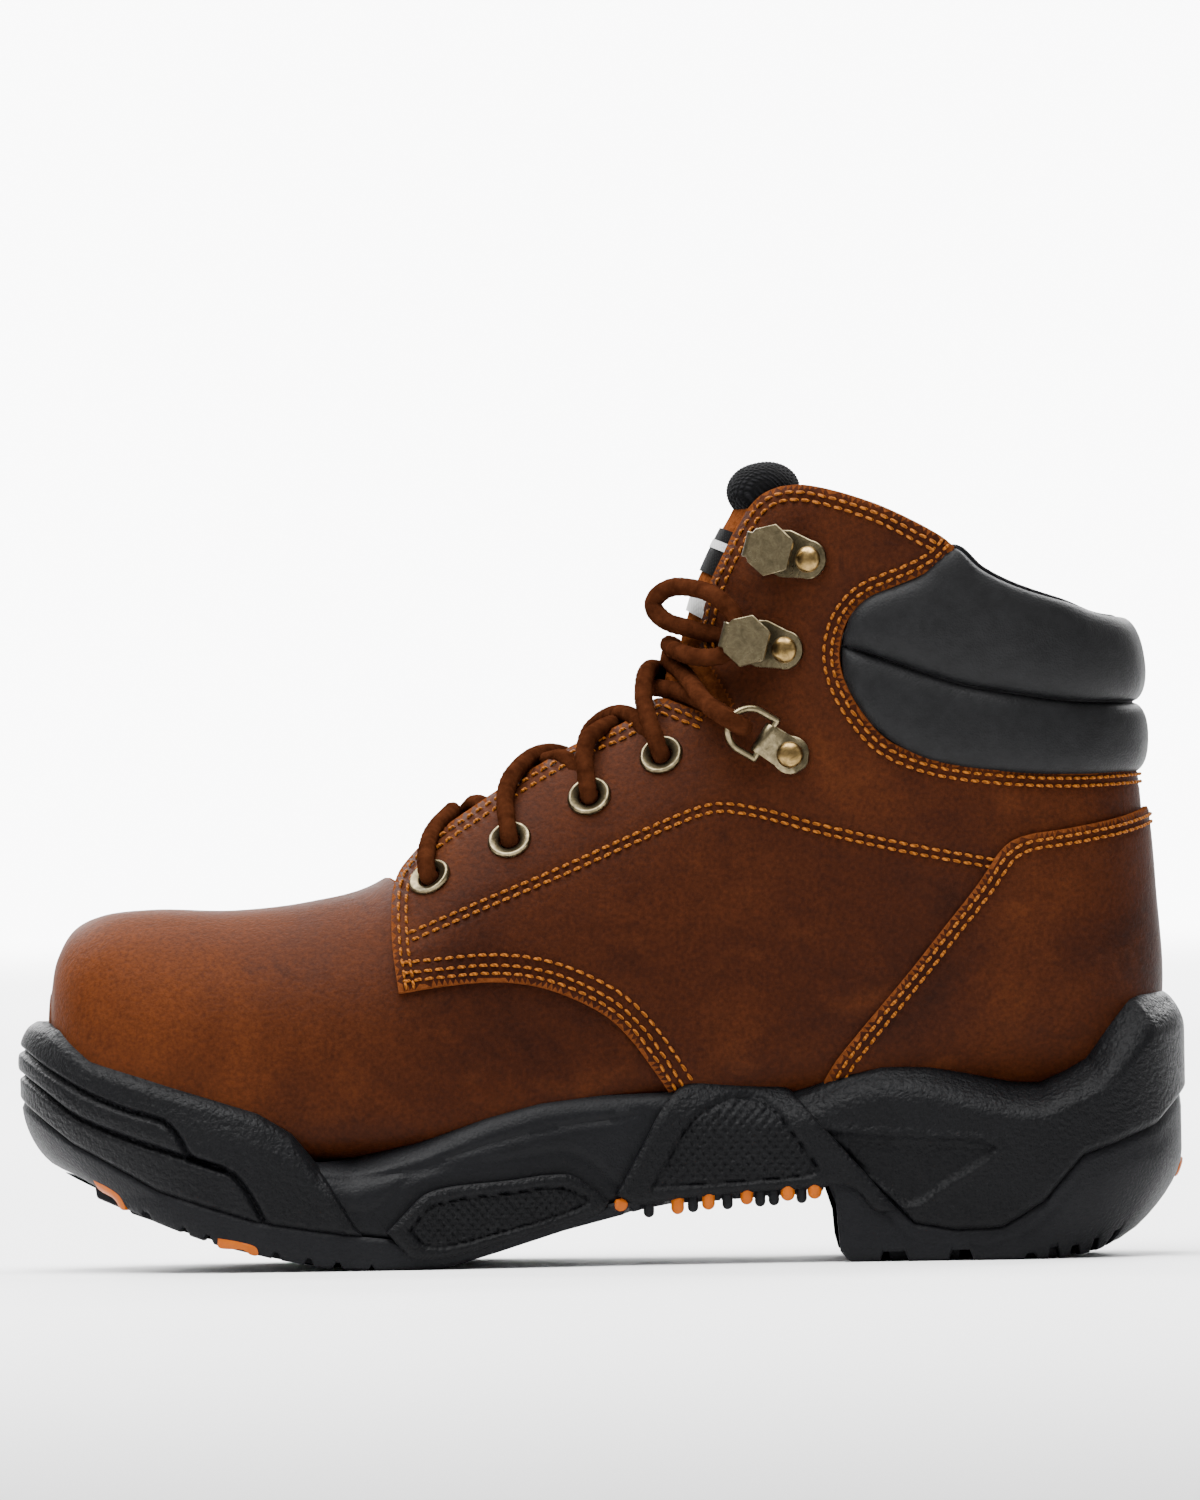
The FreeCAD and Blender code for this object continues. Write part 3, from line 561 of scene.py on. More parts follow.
# ---- materials -----------------------------------------------------------------------------------
class Nodes:
    """Short names for the nodes of one material."""

    def __init__(self, name):
        self.material = bpy.data.materials.new(name)
        self.material.use_nodes = True
        self.tree = self.material.node_tree
        self.shader = self.tree.nodes["Principled BSDF"]
        self.place = self.tree.nodes.new("ShaderNodeTexCoord").outputs["Object"]

    def put(self, node, socket, value):
        """Links another node's output to a socket, or sets the socket to a plain value."""
        if isinstance(value, bpy.types.NodeSocket):
            self.tree.links.new(value, node.inputs[socket])
        else:
            node.inputs[socket].default_value = value

    def node(self, kind, **values):
        node = self.tree.nodes.new("ShaderNode" + kind)
        for socket, value in values.items():
            self.put(node, socket, value)
        return node

    def stretch(self, x, y, z):
        return self.node("Mapping", Vector=self.place, Scale=(x, y, z)).outputs["Vector"]

    def noise(self, scale, detail=4.0, rough=0.55, twist=0.0, place=None):
        return self.node("TexNoise", Vector=place or self.place, Scale=scale, Detail=detail,
                         Roughness=rough, Distortion=twist).outputs["Fac"]

    def cells(self, scale, kind="F1"):
        node = self.node("TexVoronoi", Vector=self.place, Scale=scale)
        node.feature = kind
        return node.outputs["Distance"]

    def waves(self, scale, twist, direction):
        node = self.node("TexWave", Vector=self.place, Scale=scale, Distortion=twist)
        node.bands_direction = direction
        return node.outputs["Fac"]

    def ramp(self, value, stops):
        node = self.node("ValToRGB", Fac=value)
        elements = node.color_ramp.elements
        while len(elements) < len(stops):
            elements.new(0.5)
        for element, (at, colour) in zip(elements, stops):
            element.position = at
            element.color = (*colour, 1.0)
        return node.outputs["Color"]

    def math(self, how, a, b):
        node = self.node("Math")
        node.operation = how
        self.put(node, 0, a)
        self.put(node, 1, b)
        return node.outputs[0]

    def blend(self, how, share, a, b):
        node = self.node("Mix")
        node.data_type = "RGBA"
        node.blend_type = how
        for socket, value in ((0, share), (6, a), (7, b)):
            self.put(node, socket, (*value, 1.0) if isinstance(value, tuple) else value)
        return node.outputs[2]

    def span(self, value, low, high, out_low, out_high):
        node = self.node("MapRange", Value=value)
        for socket, number in zip(("From Min", "From Max", "To Min", "To Max"),
                                  (low, high, out_low, out_high)):
            node.inputs[socket].default_value = number
        return node.outputs["Result"]

    def axis(self, name):
        return self.node("SeparateXYZ", Vector=self.place).outputs[name]

    def bump(self, height, strength, distance, under=None):
        node = self.node("Bump", Height=height, Strength=strength, Distance=distance)
        if under is not None:
            self.put(node, "Normal", under)
        return node.outputs["Normal"]

    def finish(self, colour, rough, normal, metal=0.0, specular=0.5, sheen=0.0):
        for socket, value in (("Base Color", colour), ("Roughness", rough), ("Normal", normal),
                              ("Metallic", metal), ("Specular IOR Level", specular),
                              ("Sheen Weight", sheen)):
            self.put(self.shader, socket, value)
        return self.material


def leather_material(name="leather"):
    """Oiled brown nubuck: cloudy pull-up tones, fine pores, a painted highlight on the toe's top and a few
    dark scuffs.
    """
    m = Nodes(name)
    cloud = m.noise(17, 5, 0.6, 0.6)
    tone = m.ramp(cloud, [(0.30, (0.0150, 0.0036, 0.0012)), (0.45, (0.0270, 0.0062, 0.0016)),
                          (0.58, (0.0370, 0.0088, 0.0021)), (0.74, (0.0560, 0.0145, 0.0034))])
    # painted highlight: the leather is made lighter towards the toe and towards the top, where the light falls
    # on it
    toe = m.span(m.axis("X"), -0.040, -0.115, 0.0, 0.85)
    high = m.span(m.axis("Z"), 0.040, 0.090, 0.45, 1.0)
    toe_top_highlight = m.math("MULTIPLY", toe, high)
    tone = m.blend("MIX", toe_top_highlight, tone, m.ramp(cloud,
                                               [(0.3, (0.058, 0.0135, 0.0024)),
                                                (0.7, (0.088, 0.0225, 0.0044))]))
    spots = m.span(m.noise(60, 6, 0.7, 1.2), 0.60, 0.74, 0.0, 0.55)
    tone = m.blend("MIX", spots, tone, (0.011, 0.0032, 0.0014))
    streak = m.span(m.noise(70, 3, 0.5, 0.5, m.stretch(0.8, 1.0, 1.2)), 0.60, 0.74, 0.0, 0.22)
    tone = m.blend("MIX", streak, tone, (0.080, 0.0210, 0.0050))
    fine = m.noise(900, 4, 0.6)
    tone = m.blend("MULTIPLY", 0.85, tone, m.ramp(fine,
                                                  [(0.28, (0.55, 0.55, 0.55)), (0.68, (1.25, 1.25, 1.25))]))
    grain = m.bump(m.cells(1500), 0.16, 0.0003)
    grain = m.bump(fine, 0.5, 0.0004, grain)
    grain = m.bump(m.noise(150, 5, 0.6, 0.8), 0.30, 0.0009, grain)
    rough = m.span(cloud, 0.3, 0.7, 0.50, 0.68)
    return m.finish(tone, rough, grain, specular=0.05)


def raw_edge_material():
    """Cut edge and flesh side of the leather: lighter, orange and fuzzy."""
    m = Nodes("raw_leather")
    fuzz = m.noise(700, 5, 0.7)
    tone = m.ramp(fuzz, [(0.3, (0.055, 0.0145, 0.0040)), (0.7, (0.135, 0.040, 0.0115))])
    return m.finish(tone, 0.95, m.bump(fuzz, 0.8, 0.0004), specular=0.0)


def thread_material():
    m = Nodes("thread")
    twist = m.waves(420, 3.0, "DIAGONAL")
    tone = m.ramp(twist, [(0.2, (0.12, 0.034, 0.0030)), (0.8, (0.27, 0.085, 0.0085))])
    return m.finish(tone, 0.7, m.bump(twist, 0.5, 0.0002), specular=0.1)


def black_thread_material():
    m = Nodes("black_thread")
    twist = m.waves(420, 3.0, "DIAGONAL")
    tone = m.ramp(twist, [(0.2, (0.006, 0.006, 0.006)), (0.8, (0.03, 0.03, 0.032))])
    return m.finish(tone, 0.75, m.bump(twist, 0.5, 0.0002), specular=0.3)


def collar_material():
    """Matt black synthetic leather with a fine tight grain and soft creases."""
    m = Nodes("collar_leather")
    grain = m.cells(1900)
    soft = m.noise(90, 4, 0.5, 1.0)
    tone = m.ramp(m.noise(300, 3), [(0.3, (0.0040, 0.0041, 0.0044)), (0.7, (0.0068, 0.0069, 0.0074))])
    normal = m.bump(soft, 0.35, 0.0008, m.bump(grain, 0.35, 0.00025))
    return m.finish(tone, m.span(grain, 0.0, 0.6, 0.42, 0.55), normal, specular=0.13)


def knit_material():
    m = Nodes("knit")
    rib = m.waves(260, 1.5, "Y")
    course = m.waves(330, 1.5, "DIAGONAL")
    loops = m.math("MULTIPLY", rib, course)
    tone = m.ramp(loops, [(0.0, (0.0015, 0.0015, 0.0017)), (0.7, (0.0075, 0.0075, 0.0085))])
    return m.finish(tone, 0.92, m.bump(loops, 0.9, 0.0007), specular=0.08)


def mesh_textile_material(name="lining_textile", light=0.012):
    m = Nodes(name)
    cells = m.cells(560, "DISTANCE_TO_EDGE")
    tone = m.ramp(cells, [(0.02, (light * 1.4,) * 3), (0.2, (light * 0.3,) * 3)])
    return m.finish(tone, 0.9, m.bump(cells, 0.8, 0.0005), specular=0.2, sheen=0.1)


def rubber_material(name, pebble, depth, light, gloss):
    """Moulded black compound; pebble is the grain's frequency and depth its height."""
    m = Nodes(name)
    grain = m.noise(pebble, 3, 0.55)
    dust = m.noise(45, 5, 0.6)
    tone = m.ramp(dust, [(0.3, (light, light * 1.03, light * 1.2)),
                         (0.75, (light * 1.5, light * 1.55, light * 1.8))])
    normal = m.bump(m.noise(120, 3), 0.05, 0.0006, m.bump(grain, 0.75, depth))
    return m.finish(tone, m.span(grain, 0.3, 0.7, gloss, gloss + 0.14), normal, specular=0.09)


def orange_material():
    m = Nodes("orange_rubber")
    shade = m.noise(200, 3)
    tone = m.ramp(shade, [(0.3, (0.31, 0.063, 0.0)), (0.7, (0.37, 0.080, 0.0))])
    return m.finish(tone, 0.45, m.bump(m.noise(900, 3), 0.2, 0.0002), specular=0.15)


def brass_material(name, middle):
    """Antique brass: warm metal with a patina that runs darker and brighter in random patches."""
    m = Nodes(name)
    patina = m.noise(380, 6, 0.65, 0.4)
    tone = m.ramp(patina, [(0.30, tuple(v * 0.32 for v in middle)), (0.52, middle),
                           (0.75, tuple(v * 1.95 for v in middle))])
    scratch = m.noise(900, 2, 0.5, 0.0, m.stretch(1.0, 0.2, 3.0))
    return m.finish(tone, m.span(patina, 0.3, 0.7, 0.42, 0.24), m.bump(scratch, 0.15, 0.0001), metal=1.0)


def steel_material():
    m = Nodes("steel")
    brushed = m.noise(500, 3, 0.5, 0.0, m.stretch(0.15, 1.0, 1.0))
    tone = m.ramp(brushed, [(0.3, (0.33, 0.33, 0.34)), (0.7, (0.52, 0.52, 0.53))])
    return m.finish(tone, m.span(brushed, 0.3, 0.7, 0.28, 0.42), m.bump(brushed, 0.15, 0.0002), metal=1.0)


def lace_material():
    m = Nodes("lace_cord")
    shade = m.noise(260, 4, 0.6)
    fibre = m.noise(2600, 2)
    tone = m.ramp(shade, [(0.3, (0.0180, 0.0052, 0.0021)), (0.7, (0.0430, 0.0130, 0.0052))])
    return m.finish(tone, 0.7, m.bump(fibre, 0.5, 0.0002), specular=0.0)


def board_material():
    m = Nodes("fibre_board")
    fibre = m.noise(600, 5, 0.7)
    tone = m.ramp(fibre, [(0.3, (0.36, 0.29, 0.19)), (0.7, (0.52, 0.44, 0.31))])
    return m.finish(tone, 0.9, m.bump(fibre, 0.4, 0.0002), specular=0.2)


def foam_material():
    m = Nodes("foam")
    pores = m.cells(1100)
    tone = m.ramp(pores, [(0.0, (0.015, 0.015, 0.016)), (0.6, (0.06, 0.06, 0.063))])
    return m.finish(tone, 0.95, m.bump(pores, 0.7, 0.0004), specular=0.15)


def label_material(light):
    m = Nodes("label_" + ("light" if light else "dark"))
    weave = m.math("MULTIPLY", m.waves(700, 0.3, "X"), m.waves(700, 0.3, "Y"))
    low, high = ((0.35, 0.35, 0.34), (0.55, 0.55, 0.54)) if light else ((0.0015,) * 3, (0.005,) * 3)
    return m.finish(m.ramp(weave, [(0.1, low), (0.7, high)]), 0.8, m.bump(weave, 0.4, 0.0002),
                    specular=0.06)


LEATHER = leather_material()
RAW = raw_edge_material()
THREAD = thread_material()
BLACK_THREAD = black_thread_material()
COLLAR = collar_material()
KNIT = knit_material()
TEXTILE = mesh_textile_material()
FOOTBED_TOP = mesh_textile_material("footbed_textile", 0.05)
PEBBLE = rubber_material("pebbled_polymer", 820, 0.0008, 0.0024, 0.40)
SMOOTH_SOLE = rubber_material("smooth_polymer", 1500, 0.0003, 0.0034, 0.38)
OUTSOLE = rubber_material("outsole_rubber", 1300, 0.0004, 0.0042, 0.46)
ORANGE = orange_material()
BRASS = brass_material("antique_brass", (0.150, 0.121, 0.068))
RIVET_BRASS = brass_material("rivet_brass", (0.200, 0.130, 0.048))
STEEL = steel_material()
LACE = lace_material()
BOARD = board_material()
FOAM = foam_material()
LABEL_LIGHT = label_material(True)
LABEL_DARK = label_material(False)


def settle(thing, replaces=(), body="boot"):
    """Rides a piece on its body and hides the solids that it stands for."""
    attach(thing, body)
    if replaces:
        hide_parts(*replaces)
    return thing


# ---- stitching -----------------------------------------------------------------------------------
PITCH = 2.9                # from one stitch to the next
THREAD_RADIUS = 0.42
SEAM_DIP = 0.30            # how far a row of stitches pulls the leather in


def laid(space, points, lift):
    """Surface points under flat points, lifted along the normal, with the normals."""
    points = np.asarray(points, float)
    step = 0.6
    base = space(points)
    a = space(points + (step, 0.0)) - base
    b = space(points + (0.0, step)) - base
    n = np.cross(a, b)
    n /= np.maximum(np.linalg.norm(n, axis=1), 1e-9)[:, None]
    core = np.clip(base[:, 0], -110.0, 88.0)
    middle = np.stack([core, centre_shift(core), np.full(len(base), 80.0)], axis=1)
    flip = ((base - middle) * n)[:, :2].sum(1) < 0
    n[flip] *= -1
    return base + n * lift, n


def stitch_mesh(name, rows, space, lift, material=None, pitch=PITCH, radius=THREAD_RADIUS):
    """Short raised threads along each row of flat points."""
    verts, faces = [], []
    around, rings = 8, 7
    turn = np.arange(around) * 2 * math.pi / around
    share = np.linspace(-1, 1, rings)
    fat = np.sqrt(np.clip(1 - (share * 0.97) ** 4, 0.02, 1))
    thread = [f[::-1] for f in grid_faces(rings, around, closed=True) + end_faces(rings, around)]
    for row in rows:
        line = even(row, pitch)
        place, normal = laid(space, line, lift)
        for k in range(len(line) - 1):
            a, b = place[k], place[k + 1]
            way = b - a
            length = np.linalg.norm(way)
            if length < pitch * 0.4 or length > pitch * 3:
                continue
            way = way / length
            n = normal[k] + normal[k + 1]
            n -= way * n.dot(way)
            n /= np.linalg.norm(n)
            across = np.cross(way, n)
            tilt = RNG.uniform(-0.10, 0.10)
            lie = way * math.cos(tilt) + across * math.sin(tilt)
            middle = (a + b) / 2
            half = length * 0.385
            hump = radius * (0.75 - 1.35 * share ** 4)
            start = len(verts)
            for j in range(rings):
                centre = middle + lie * share[j] * half + n * hump[j]
                r = radius * fat[j]
                for t in turn:
                    verts.append(centre + (across * math.cos(t) + n * math.sin(t)) * r)
            faces += [tuple(start + i for i in f) for f in thread]
    return settle(new_mesh(name, verts, faces, [material or THREAD]))


def offset_line(line, distance):
    """The flat line moved sideways, to its left as it runs for a positive distance."""
    line = np.asarray(line, float)
    ahead = np.gradient(line, axis=0)
    ahead /= np.maximum(np.linalg.norm(ahead, axis=1), 1e-9)[:, None]
    return line + np.stack([-ahead[:, 1], ahead[:, 0]], axis=1) * distance


# ---- outlines of the leather ---------------------------------------------------------------------
def turned(x):
    """Way along the leather for a side-view x behind AXIS_X."""
    reach = 33.0
    return x if x <= AXIS_X else AXIS_X + ROUND * math.asin(min((x - AXIS_X) / reach, 1.0)) / (math.pi / 2)


LOWER_EDGE = [(-52.5, 72.5), (-41, 74), (-29, 74.8), (-19, 74), (-9, 71), (2, 65), (8, 59), (13, 52),
              (18, 44), (20, 39)]
FEATHER = [(20, 39), (60, 43), (105, 44), (BACK, 50)]
BACK_SEAM = [(BACK, 50), (BACK, 90), (BACK, 128)]
UNDER_COLLAR = [(BACK, 128), (turned(142), 127.8), (turned(125), 127.2), (108, 128), (90, 130.5),
                (81, 133.5), (75, 137), (69.5, 143.5), (65.8, 150), (63.8, 157), (64.5, 163.5), (67, 169),
                (71.5, 173.3), (78, 176), (85.5, 179), (91, 182.3), (94.5, 186)]
TOP_EDGE = [(94.5, 186), (91, 189), (77, 196.5), (68, 200), (60, 202.4), (54, 203.4), (48.5, 203)]
FLAP_EDGE = [(48.5, 203), (44, 201), (40.5, 197.5), (37, 192), (34, 186), (30.5, 179), (28.2, 172),
             (26.8, 165), (27.3, 160), (30.5, 154.5), (35.3, 146.2)]
NOTCH_EDGE = [(35.3, 146.2), (34.3, 142.6)]
STEP_EDGE = [(34.3, 142.6), (29, 143.8), (21, 147), (18, 148.2), (15, 148), (12, 145)]
EYESTAY_EDGE = [(12, 145), (6, 141.5), (-6, 136.5), (-22.5, 127), (-40, 116)]
CORNER_EDGE = [(-40, 116), (-45, 112.5), (-49.5, 108), (-52.5, 104), (-54, 99), (-54.3, 92), (-54, 84),
               (-52.5, 72.5)]
QUARTER = join(LOWER_EDGE, FEATHER, BACK_SEAM, UNDER_COLLAR, TOP_EDGE, FLAP_EDGE, NOTCH_EDGE, STEP_EDGE,
               EYESTAY_EDGE, CORNER_EDGE)
YOKE_LINE = [(-50, 87.5), (-31, 95.5), (-10, 104), (5, 110.5), (18, 116), (25, 118.7), (30, 120), (35, 120),
             (45, 118), (56, 114.8), (80, 109), (104, 104.3)]
COUNTER_FRONT = [(58, 47), (61, 52), (68, 60.5), (80.5, 75), (91, 88), (97.5, 96), (101.5, 101.5),
                 (104.5, 106), (108, 109.2), (112.5, 110.8), (turned(121), 112), (turned(133), 114),
                 (turned(143), 116.6), (BACK, 117.5)]
EYELETS = [(-44, 102), (-23, 111.5), (-2, 122.5), (17, 133)]
HOOKS = [(50, 160), (56.5, 183.5)]
HOLE = 2.7                 # radius of an eyelet's hole in the leather


def build_vamp():
    """The toe's panel: one sheet over the ridge as far as the throat, then a wing under each quarter."""
    rows, per_side = 150, 70
    last, throat, depth = 9.6, 7.05, 2.05
    u = np.linspace(0.0, last, rows)
    verts, faces = [], []
    open_from = np.clip((u - throat) / 0.25, 0, 1) * 0.55 + np.clip((u - throat - 0.25) / 2.2, 0, 1) * 0.75
    lowest = np.interp(u, [0, 1, 2, 4, 7.5, 9.6], [2.3, 2.3, 2.35, 2.5, 2.7, 2.2])
    for k in range(rows):
        share = np.linspace(0, 1, per_side)
        angle = open_from[k] + (lowest[k] - open_from[k]) * share
        verts.append(np.vstack([form_points(u[k], -angle[::-1], depth), form_points(u[k], angle, depth)]))
    middle = form_points(0.0, 0.0, depth) * 0.5 + form_points(0.0, math.pi, depth) * 0.5
    nose = []
    for t in np.linspace(math.pi / 2, 0.15, 9):
        ring = middle + (verts[0] - middle) * max(math.cos(t), 0.001)
        nose.append(ring - (1.0 * math.sin(t), 0, 0))
    extra = len(nose)
    verts = np.array(nose + verts)
    cols = 2 * per_side
    for r in range(extra + rows - 1):
        for c in range(cols - 1):
            if c == per_side - 1 and r >= extra and u[r - extra + 1] > throat:
                continue
            faces.append((r * cols + c, (r + 1) * cols + c, (r + 1) * cols + c + 1, r * cols + c + 1))
    thing = new_mesh("vamp_panel", verts.reshape(-1, 3), faces, [LEATHER, RAW], sharp=70)
    weld = thing.modifiers.new("weld", "WELD")
    weld.merge_threshold = 0.00005
    thick = thing.modifiers.new("thickness", "SOLIDIFY")
    thick.thickness = 1.9 * MM
    thick.offset = -1.0
    thick.use_even_offset = False
    thick.material_offset = 1
    thick.material_offset_rim = 1
    settle(thing, ("vamp",))


def build_quarters():
    """Each side's main panel, with its eyelet holes and all its rows of stitches."""
    for name, side in SIDES:
        space = side_space(side)
        seams = [offset_line(spline(s), d) for s, d in quarter_rows()]
        pressed = np.vstack([even(row, 0.8) for row in seams])
        holes = [np.array([(x + HOLE * math.cos(t), z + HOLE * math.sin(t))
                           for t in np.arange(14) * 2 * math.pi / 14]) for x, z in EYELETS]

        def relief(flat):
            swell = 0.22 * np.sin(flat[:, 0] * 0.11 + 1.0) * np.sin(flat[:, 1] * 0.09)
            return swell + ridge(flat, pressed, 1.0, -SEAM_DIP)

        panel = sheet_mesh("quarter_panel_" + name, QUARTER, space, 1.9, [LEATHER, RAW], 1.45, holes,
                           relief=relief, roll=0.55, flip=side > 0, raw=0.75)
        settle(panel, ("quarter_" + name,))
        stitch_mesh("quarter_stitching_" + name, seams, space, 0.0)


def quarter_rows():
    """Rows of stitches on a quarter, each a line of side-view points and how far it is moved off it."""
    top = TOP_EDGE[1:] + FLAP_EDGE[1:-2]
    eyelets = STEP_EDGE[1:-1] + EYESTAY_EDGE + CORNER_EDGE[1:3]
    hem = [(-51.5, 73.0)] + LOWER_EDGE[1:-1]
    rows = [(UNDER_COLLAR, d) for d in (1.9, 3.9)]
    rows += [(top, d) for d in (2.1, 4.1)]
    for d in (2.1, 4.1):
        rows += [(eyelets, d), (CORNER_EDGE[2:], d)]
    rows += [(hem, d) for d in (2.1, 4.2, 6.9)]
    return rows + [(YOKE_LINE, d) for d in (0.0, -2.0)]


def build_counter():
    """Leather pocket round the heel, over both quarters."""
    half = [(BACK - x, z) for x, z in COUNTER_FRONT]
    foot = [(112, 47), (60, 44.5), (0, 48), (-60, 44.5), (-112, 47)]
    outline = join([(-c, z) for c, z in half], half[::-1], foot)
    front = spline(half)
    rows = []
    for d in (1.9, 3.9):
        line = offset_line(front, d)
        line = line[line[:, 0] >= 0.3]
        rows.append(line)
        rows.append(line * (-1, 1))
    pressed = np.vstack([even(row, 0.8) for row in rows])

    def relief(flat):
        return ridge(flat, pressed, 1.0, -SEAM_DIP)

    panel = sheet_mesh("counter_panel", outline, back_space, 1.75, [LEATHER, RAW], 1.5, lift=1.9,
                       relief=relief, roll=0.55, raw=0.75)
    settle(panel, ("heel_counter_cover",))
    stitch_mesh("counter_stitching", rows, back_space, 1.9)


# ---- collar and tongue ---------------------------------------------------------------------------
COLLAR_TIP = [(64.5, 160.5), (66.5, 168.5), (71.5, 173.6), (79, 176.6), (85.6, 179.4), (94, 186)]
COLLAR_RIM = [(94, 186), (101, 180.5), (108, 176.8), (turned(115), 174.2), (turned(125), 171.5),
              (turned(135), 168.5), (BACK, 167.5)]
PUFF_SEAM = [(64, 161), (71, 159), (79, 156), (88, 152.8), (97, 150), (turned(113), 147.2),
             (turned(125), 145.6), (turned(140), 145.1), (BACK, 145)]
PUFF_FOOT = [(63.6, 159.5), (64.6, 152), (67.5, 146.5), (72, 140), (77, 135.6), (84, 131.5), (92, 129),
             (108, 126.8), (turned(125), 126), (BACK, 126.5)]


def height_of(line):
    """Height as a function of the way along the leather."""
    line = spline(line)
    order = np.argsort(line[:, 0], kind="stable")
    return lambda x: np.interp(x, line[order, 0], line[order, 1])


def puff_mesh(name, start, low, high, stand, crease):
    """A stuffed roll round the back of the shaft, between two lines, full in the middle."""
    ways = np.linspace(-(BACK - start), BACK - start, 200)
    rows = 34
    flat, lift = [], []
    for c in ways:
        x = BACK - abs(c)
        tip = np.clip((x - start) / 9.0, 0, 1)
        a, b = low(x), high(x)
        for k in range(rows):
            turn = 2 * math.pi * k / rows
            across, out = math.cos(turn), math.sin(turn)
            fill = abs(out) ** 0.72 * (stand if out >= 0 else -4.8)
            v = 0.5 - 0.5 * math.copysign(abs(across) ** 0.85, across)
            flat.append((c, a + (b - a) * v))
            fold = crease * math.sin(c * 0.21 + 3 * v) * math.sin(c * 0.083 + 1.0) * max(out, 0)
            lift.append(-2.7 + (fill + fold) * math.sqrt(tip * (2 - tip)))
    base, normal = laid(back_space, np.array(flat), 0.0)
    verts = base + normal * np.array(lift)[:, None]
    faces = grid_faces(len(ways), rows, closed=True) + end_faces(len(ways), rows)
    return new_mesh(name, verts, faces, [COLLAR], sharp=80)


def build_collar():
    """Two stuffed rolls round the back, their bound rim, a zigzag and the piping between."""
    seam, foot = height_of(PUFF_SEAM), height_of(PUFF_FOOT)
    rim = height_of(COLLAR_TIP + COLLAR_RIM[1:])
    upper = puff_mesh("collar_puff_upper", 64.2, seam, rim, 5.6, 0.35)
    settle(upper, ("collar_pad_upper",))
    lower = puff_mesh("collar_puff_lower", 63.8, foot, seam, 5.2, 0.3)
    settle(lower, ("collar_pad_lower",))
    ways = np.linspace(-76.5, 76.5, 260)
    edge = np.stack([ways, rim(BACK - np.abs(ways)) - 0.6], axis=1)
    line, _ = laid(back_space, edge, -3.6)
    binding = tube_mesh("collar_binding", line, 1.5, [KNIT], 12)
    settle(binding)
    zigzag = []
    for k, c in enumerate(np.arange(-74, 74, 1.5)):
        zigzag.append((c, rim(BACK - abs(c)) - 2.6 + (1.6 if k % 2 else -0.6)))
    stitch_mesh("collar_zigzag", [zigzag], back_space, -1.3, BLACK_THREAD, pitch=1.75, radius=0.35)
    joins = [(c, float(seam(BACK - abs(c)))) for c in np.linspace(-104, 104, 120)]
    line, _ = laid(back_space, np.array(joins), -2.1)
    settle(tube_mesh("collar_piping", line, 0.9, [COLLAR], 10))


def tongue_depth(u, angle):
    """How far the tongue lies inside the form: deep under the laces, near the flaps' edges above them."""
    rise = np.clip((u - 11.0) / 1.5, 0, 1)
    rise = rise * rise * (3 - 2 * rise)
    wing = np.clip((np.abs(angle) - 0.22) / 0.35, 0, 1)
    upper = 0.4 + 4.4 * wing * wing * (3 - 2 * wing)
    lower = 8.2 - 3.4 * np.clip((8.4 - u) / 1.2, 0, 1)
    return lower + (upper - lower) * rise


def tongue_grid(name, u_range, reach, inset, thickness, materials, dents=0.0, rows=90, cols=50):
    u = np.linspace(*u_range, rows)[:, None]
    angle = np.linspace(-reach, reach, cols)[None, :]
    u, angle = np.broadcast_arrays(u, angle)
    layers = []
    for extra in (inset, inset + thickness):
        depth = tongue_depth(u, angle) + extra
        wave = dents * np.sin(u * 7.1 + angle * 3) * np.cos(angle * 4 + u)
        p = np.empty(u.shape + (3,))
        for d in np.unique(np.round(depth, 1)):
            where = np.abs(depth - d) <= 0.0501
            p[where] = form_points(u[where], angle[where], d)
        way = form_points(u, angle, -4.0) - form_points(u, angle, 4.0)
        p = p + way / np.linalg.norm(way, axis=-1)[..., None] * wave[..., None]
        layers.append(p.reshape(-1, 3))
    one = grid_faces(rows, cols)
    count = rows * cols
    faces = one + [tuple(i + count for i in f[::-1]) for f in one]
    rim = list(range(cols)) + [r * cols + cols - 1 for r in range(1, rows)]
    rim += [(rows - 1) * cols + c for c in range(cols - 2, -1, -1)] + [r * cols
                                                                       for r in range(rows - 2, 0, -1)]
    for a, b in zip(rim, rim[1:] + rim[:1]):
        faces.append((b, a, a + count, b + count))
    return new_mesh(name, np.vstack(layers), faces, materials)


def build_tongue():
    """The tongue's leather, the pad behind it and the three bands of its woven label."""
    tongue = tongue_grid("tongue_panel", (6.6, 16.35), 0.70, 0.0, 1.4, [RAW], 0.25)
    settle(tongue, ("tongue_leather",))
    pad = tongue_grid("tongue_pad", (7.2, 16.30), 0.66, 1.45, 3.2, [TEXTILE])
    settle(pad, ("tongue_padding",))
    for name, span, material in (("label_dark", (15.02, 15.95), LABEL_DARK),
                                 ("label_light_top", (15.55, 15.72), LABEL_LIGHT),
                                 ("label_light_foot", (14.15, 14.62), LABEL_LIGHT)):
        proud = -0.9 if material is LABEL_LIGHT else -0.7
        band = tongue_grid(name, span, 0.36, proud, 0.6, [material], rows=12, cols=30)
        settle(band, ("tongue_label",) if name == "label_dark" else ())


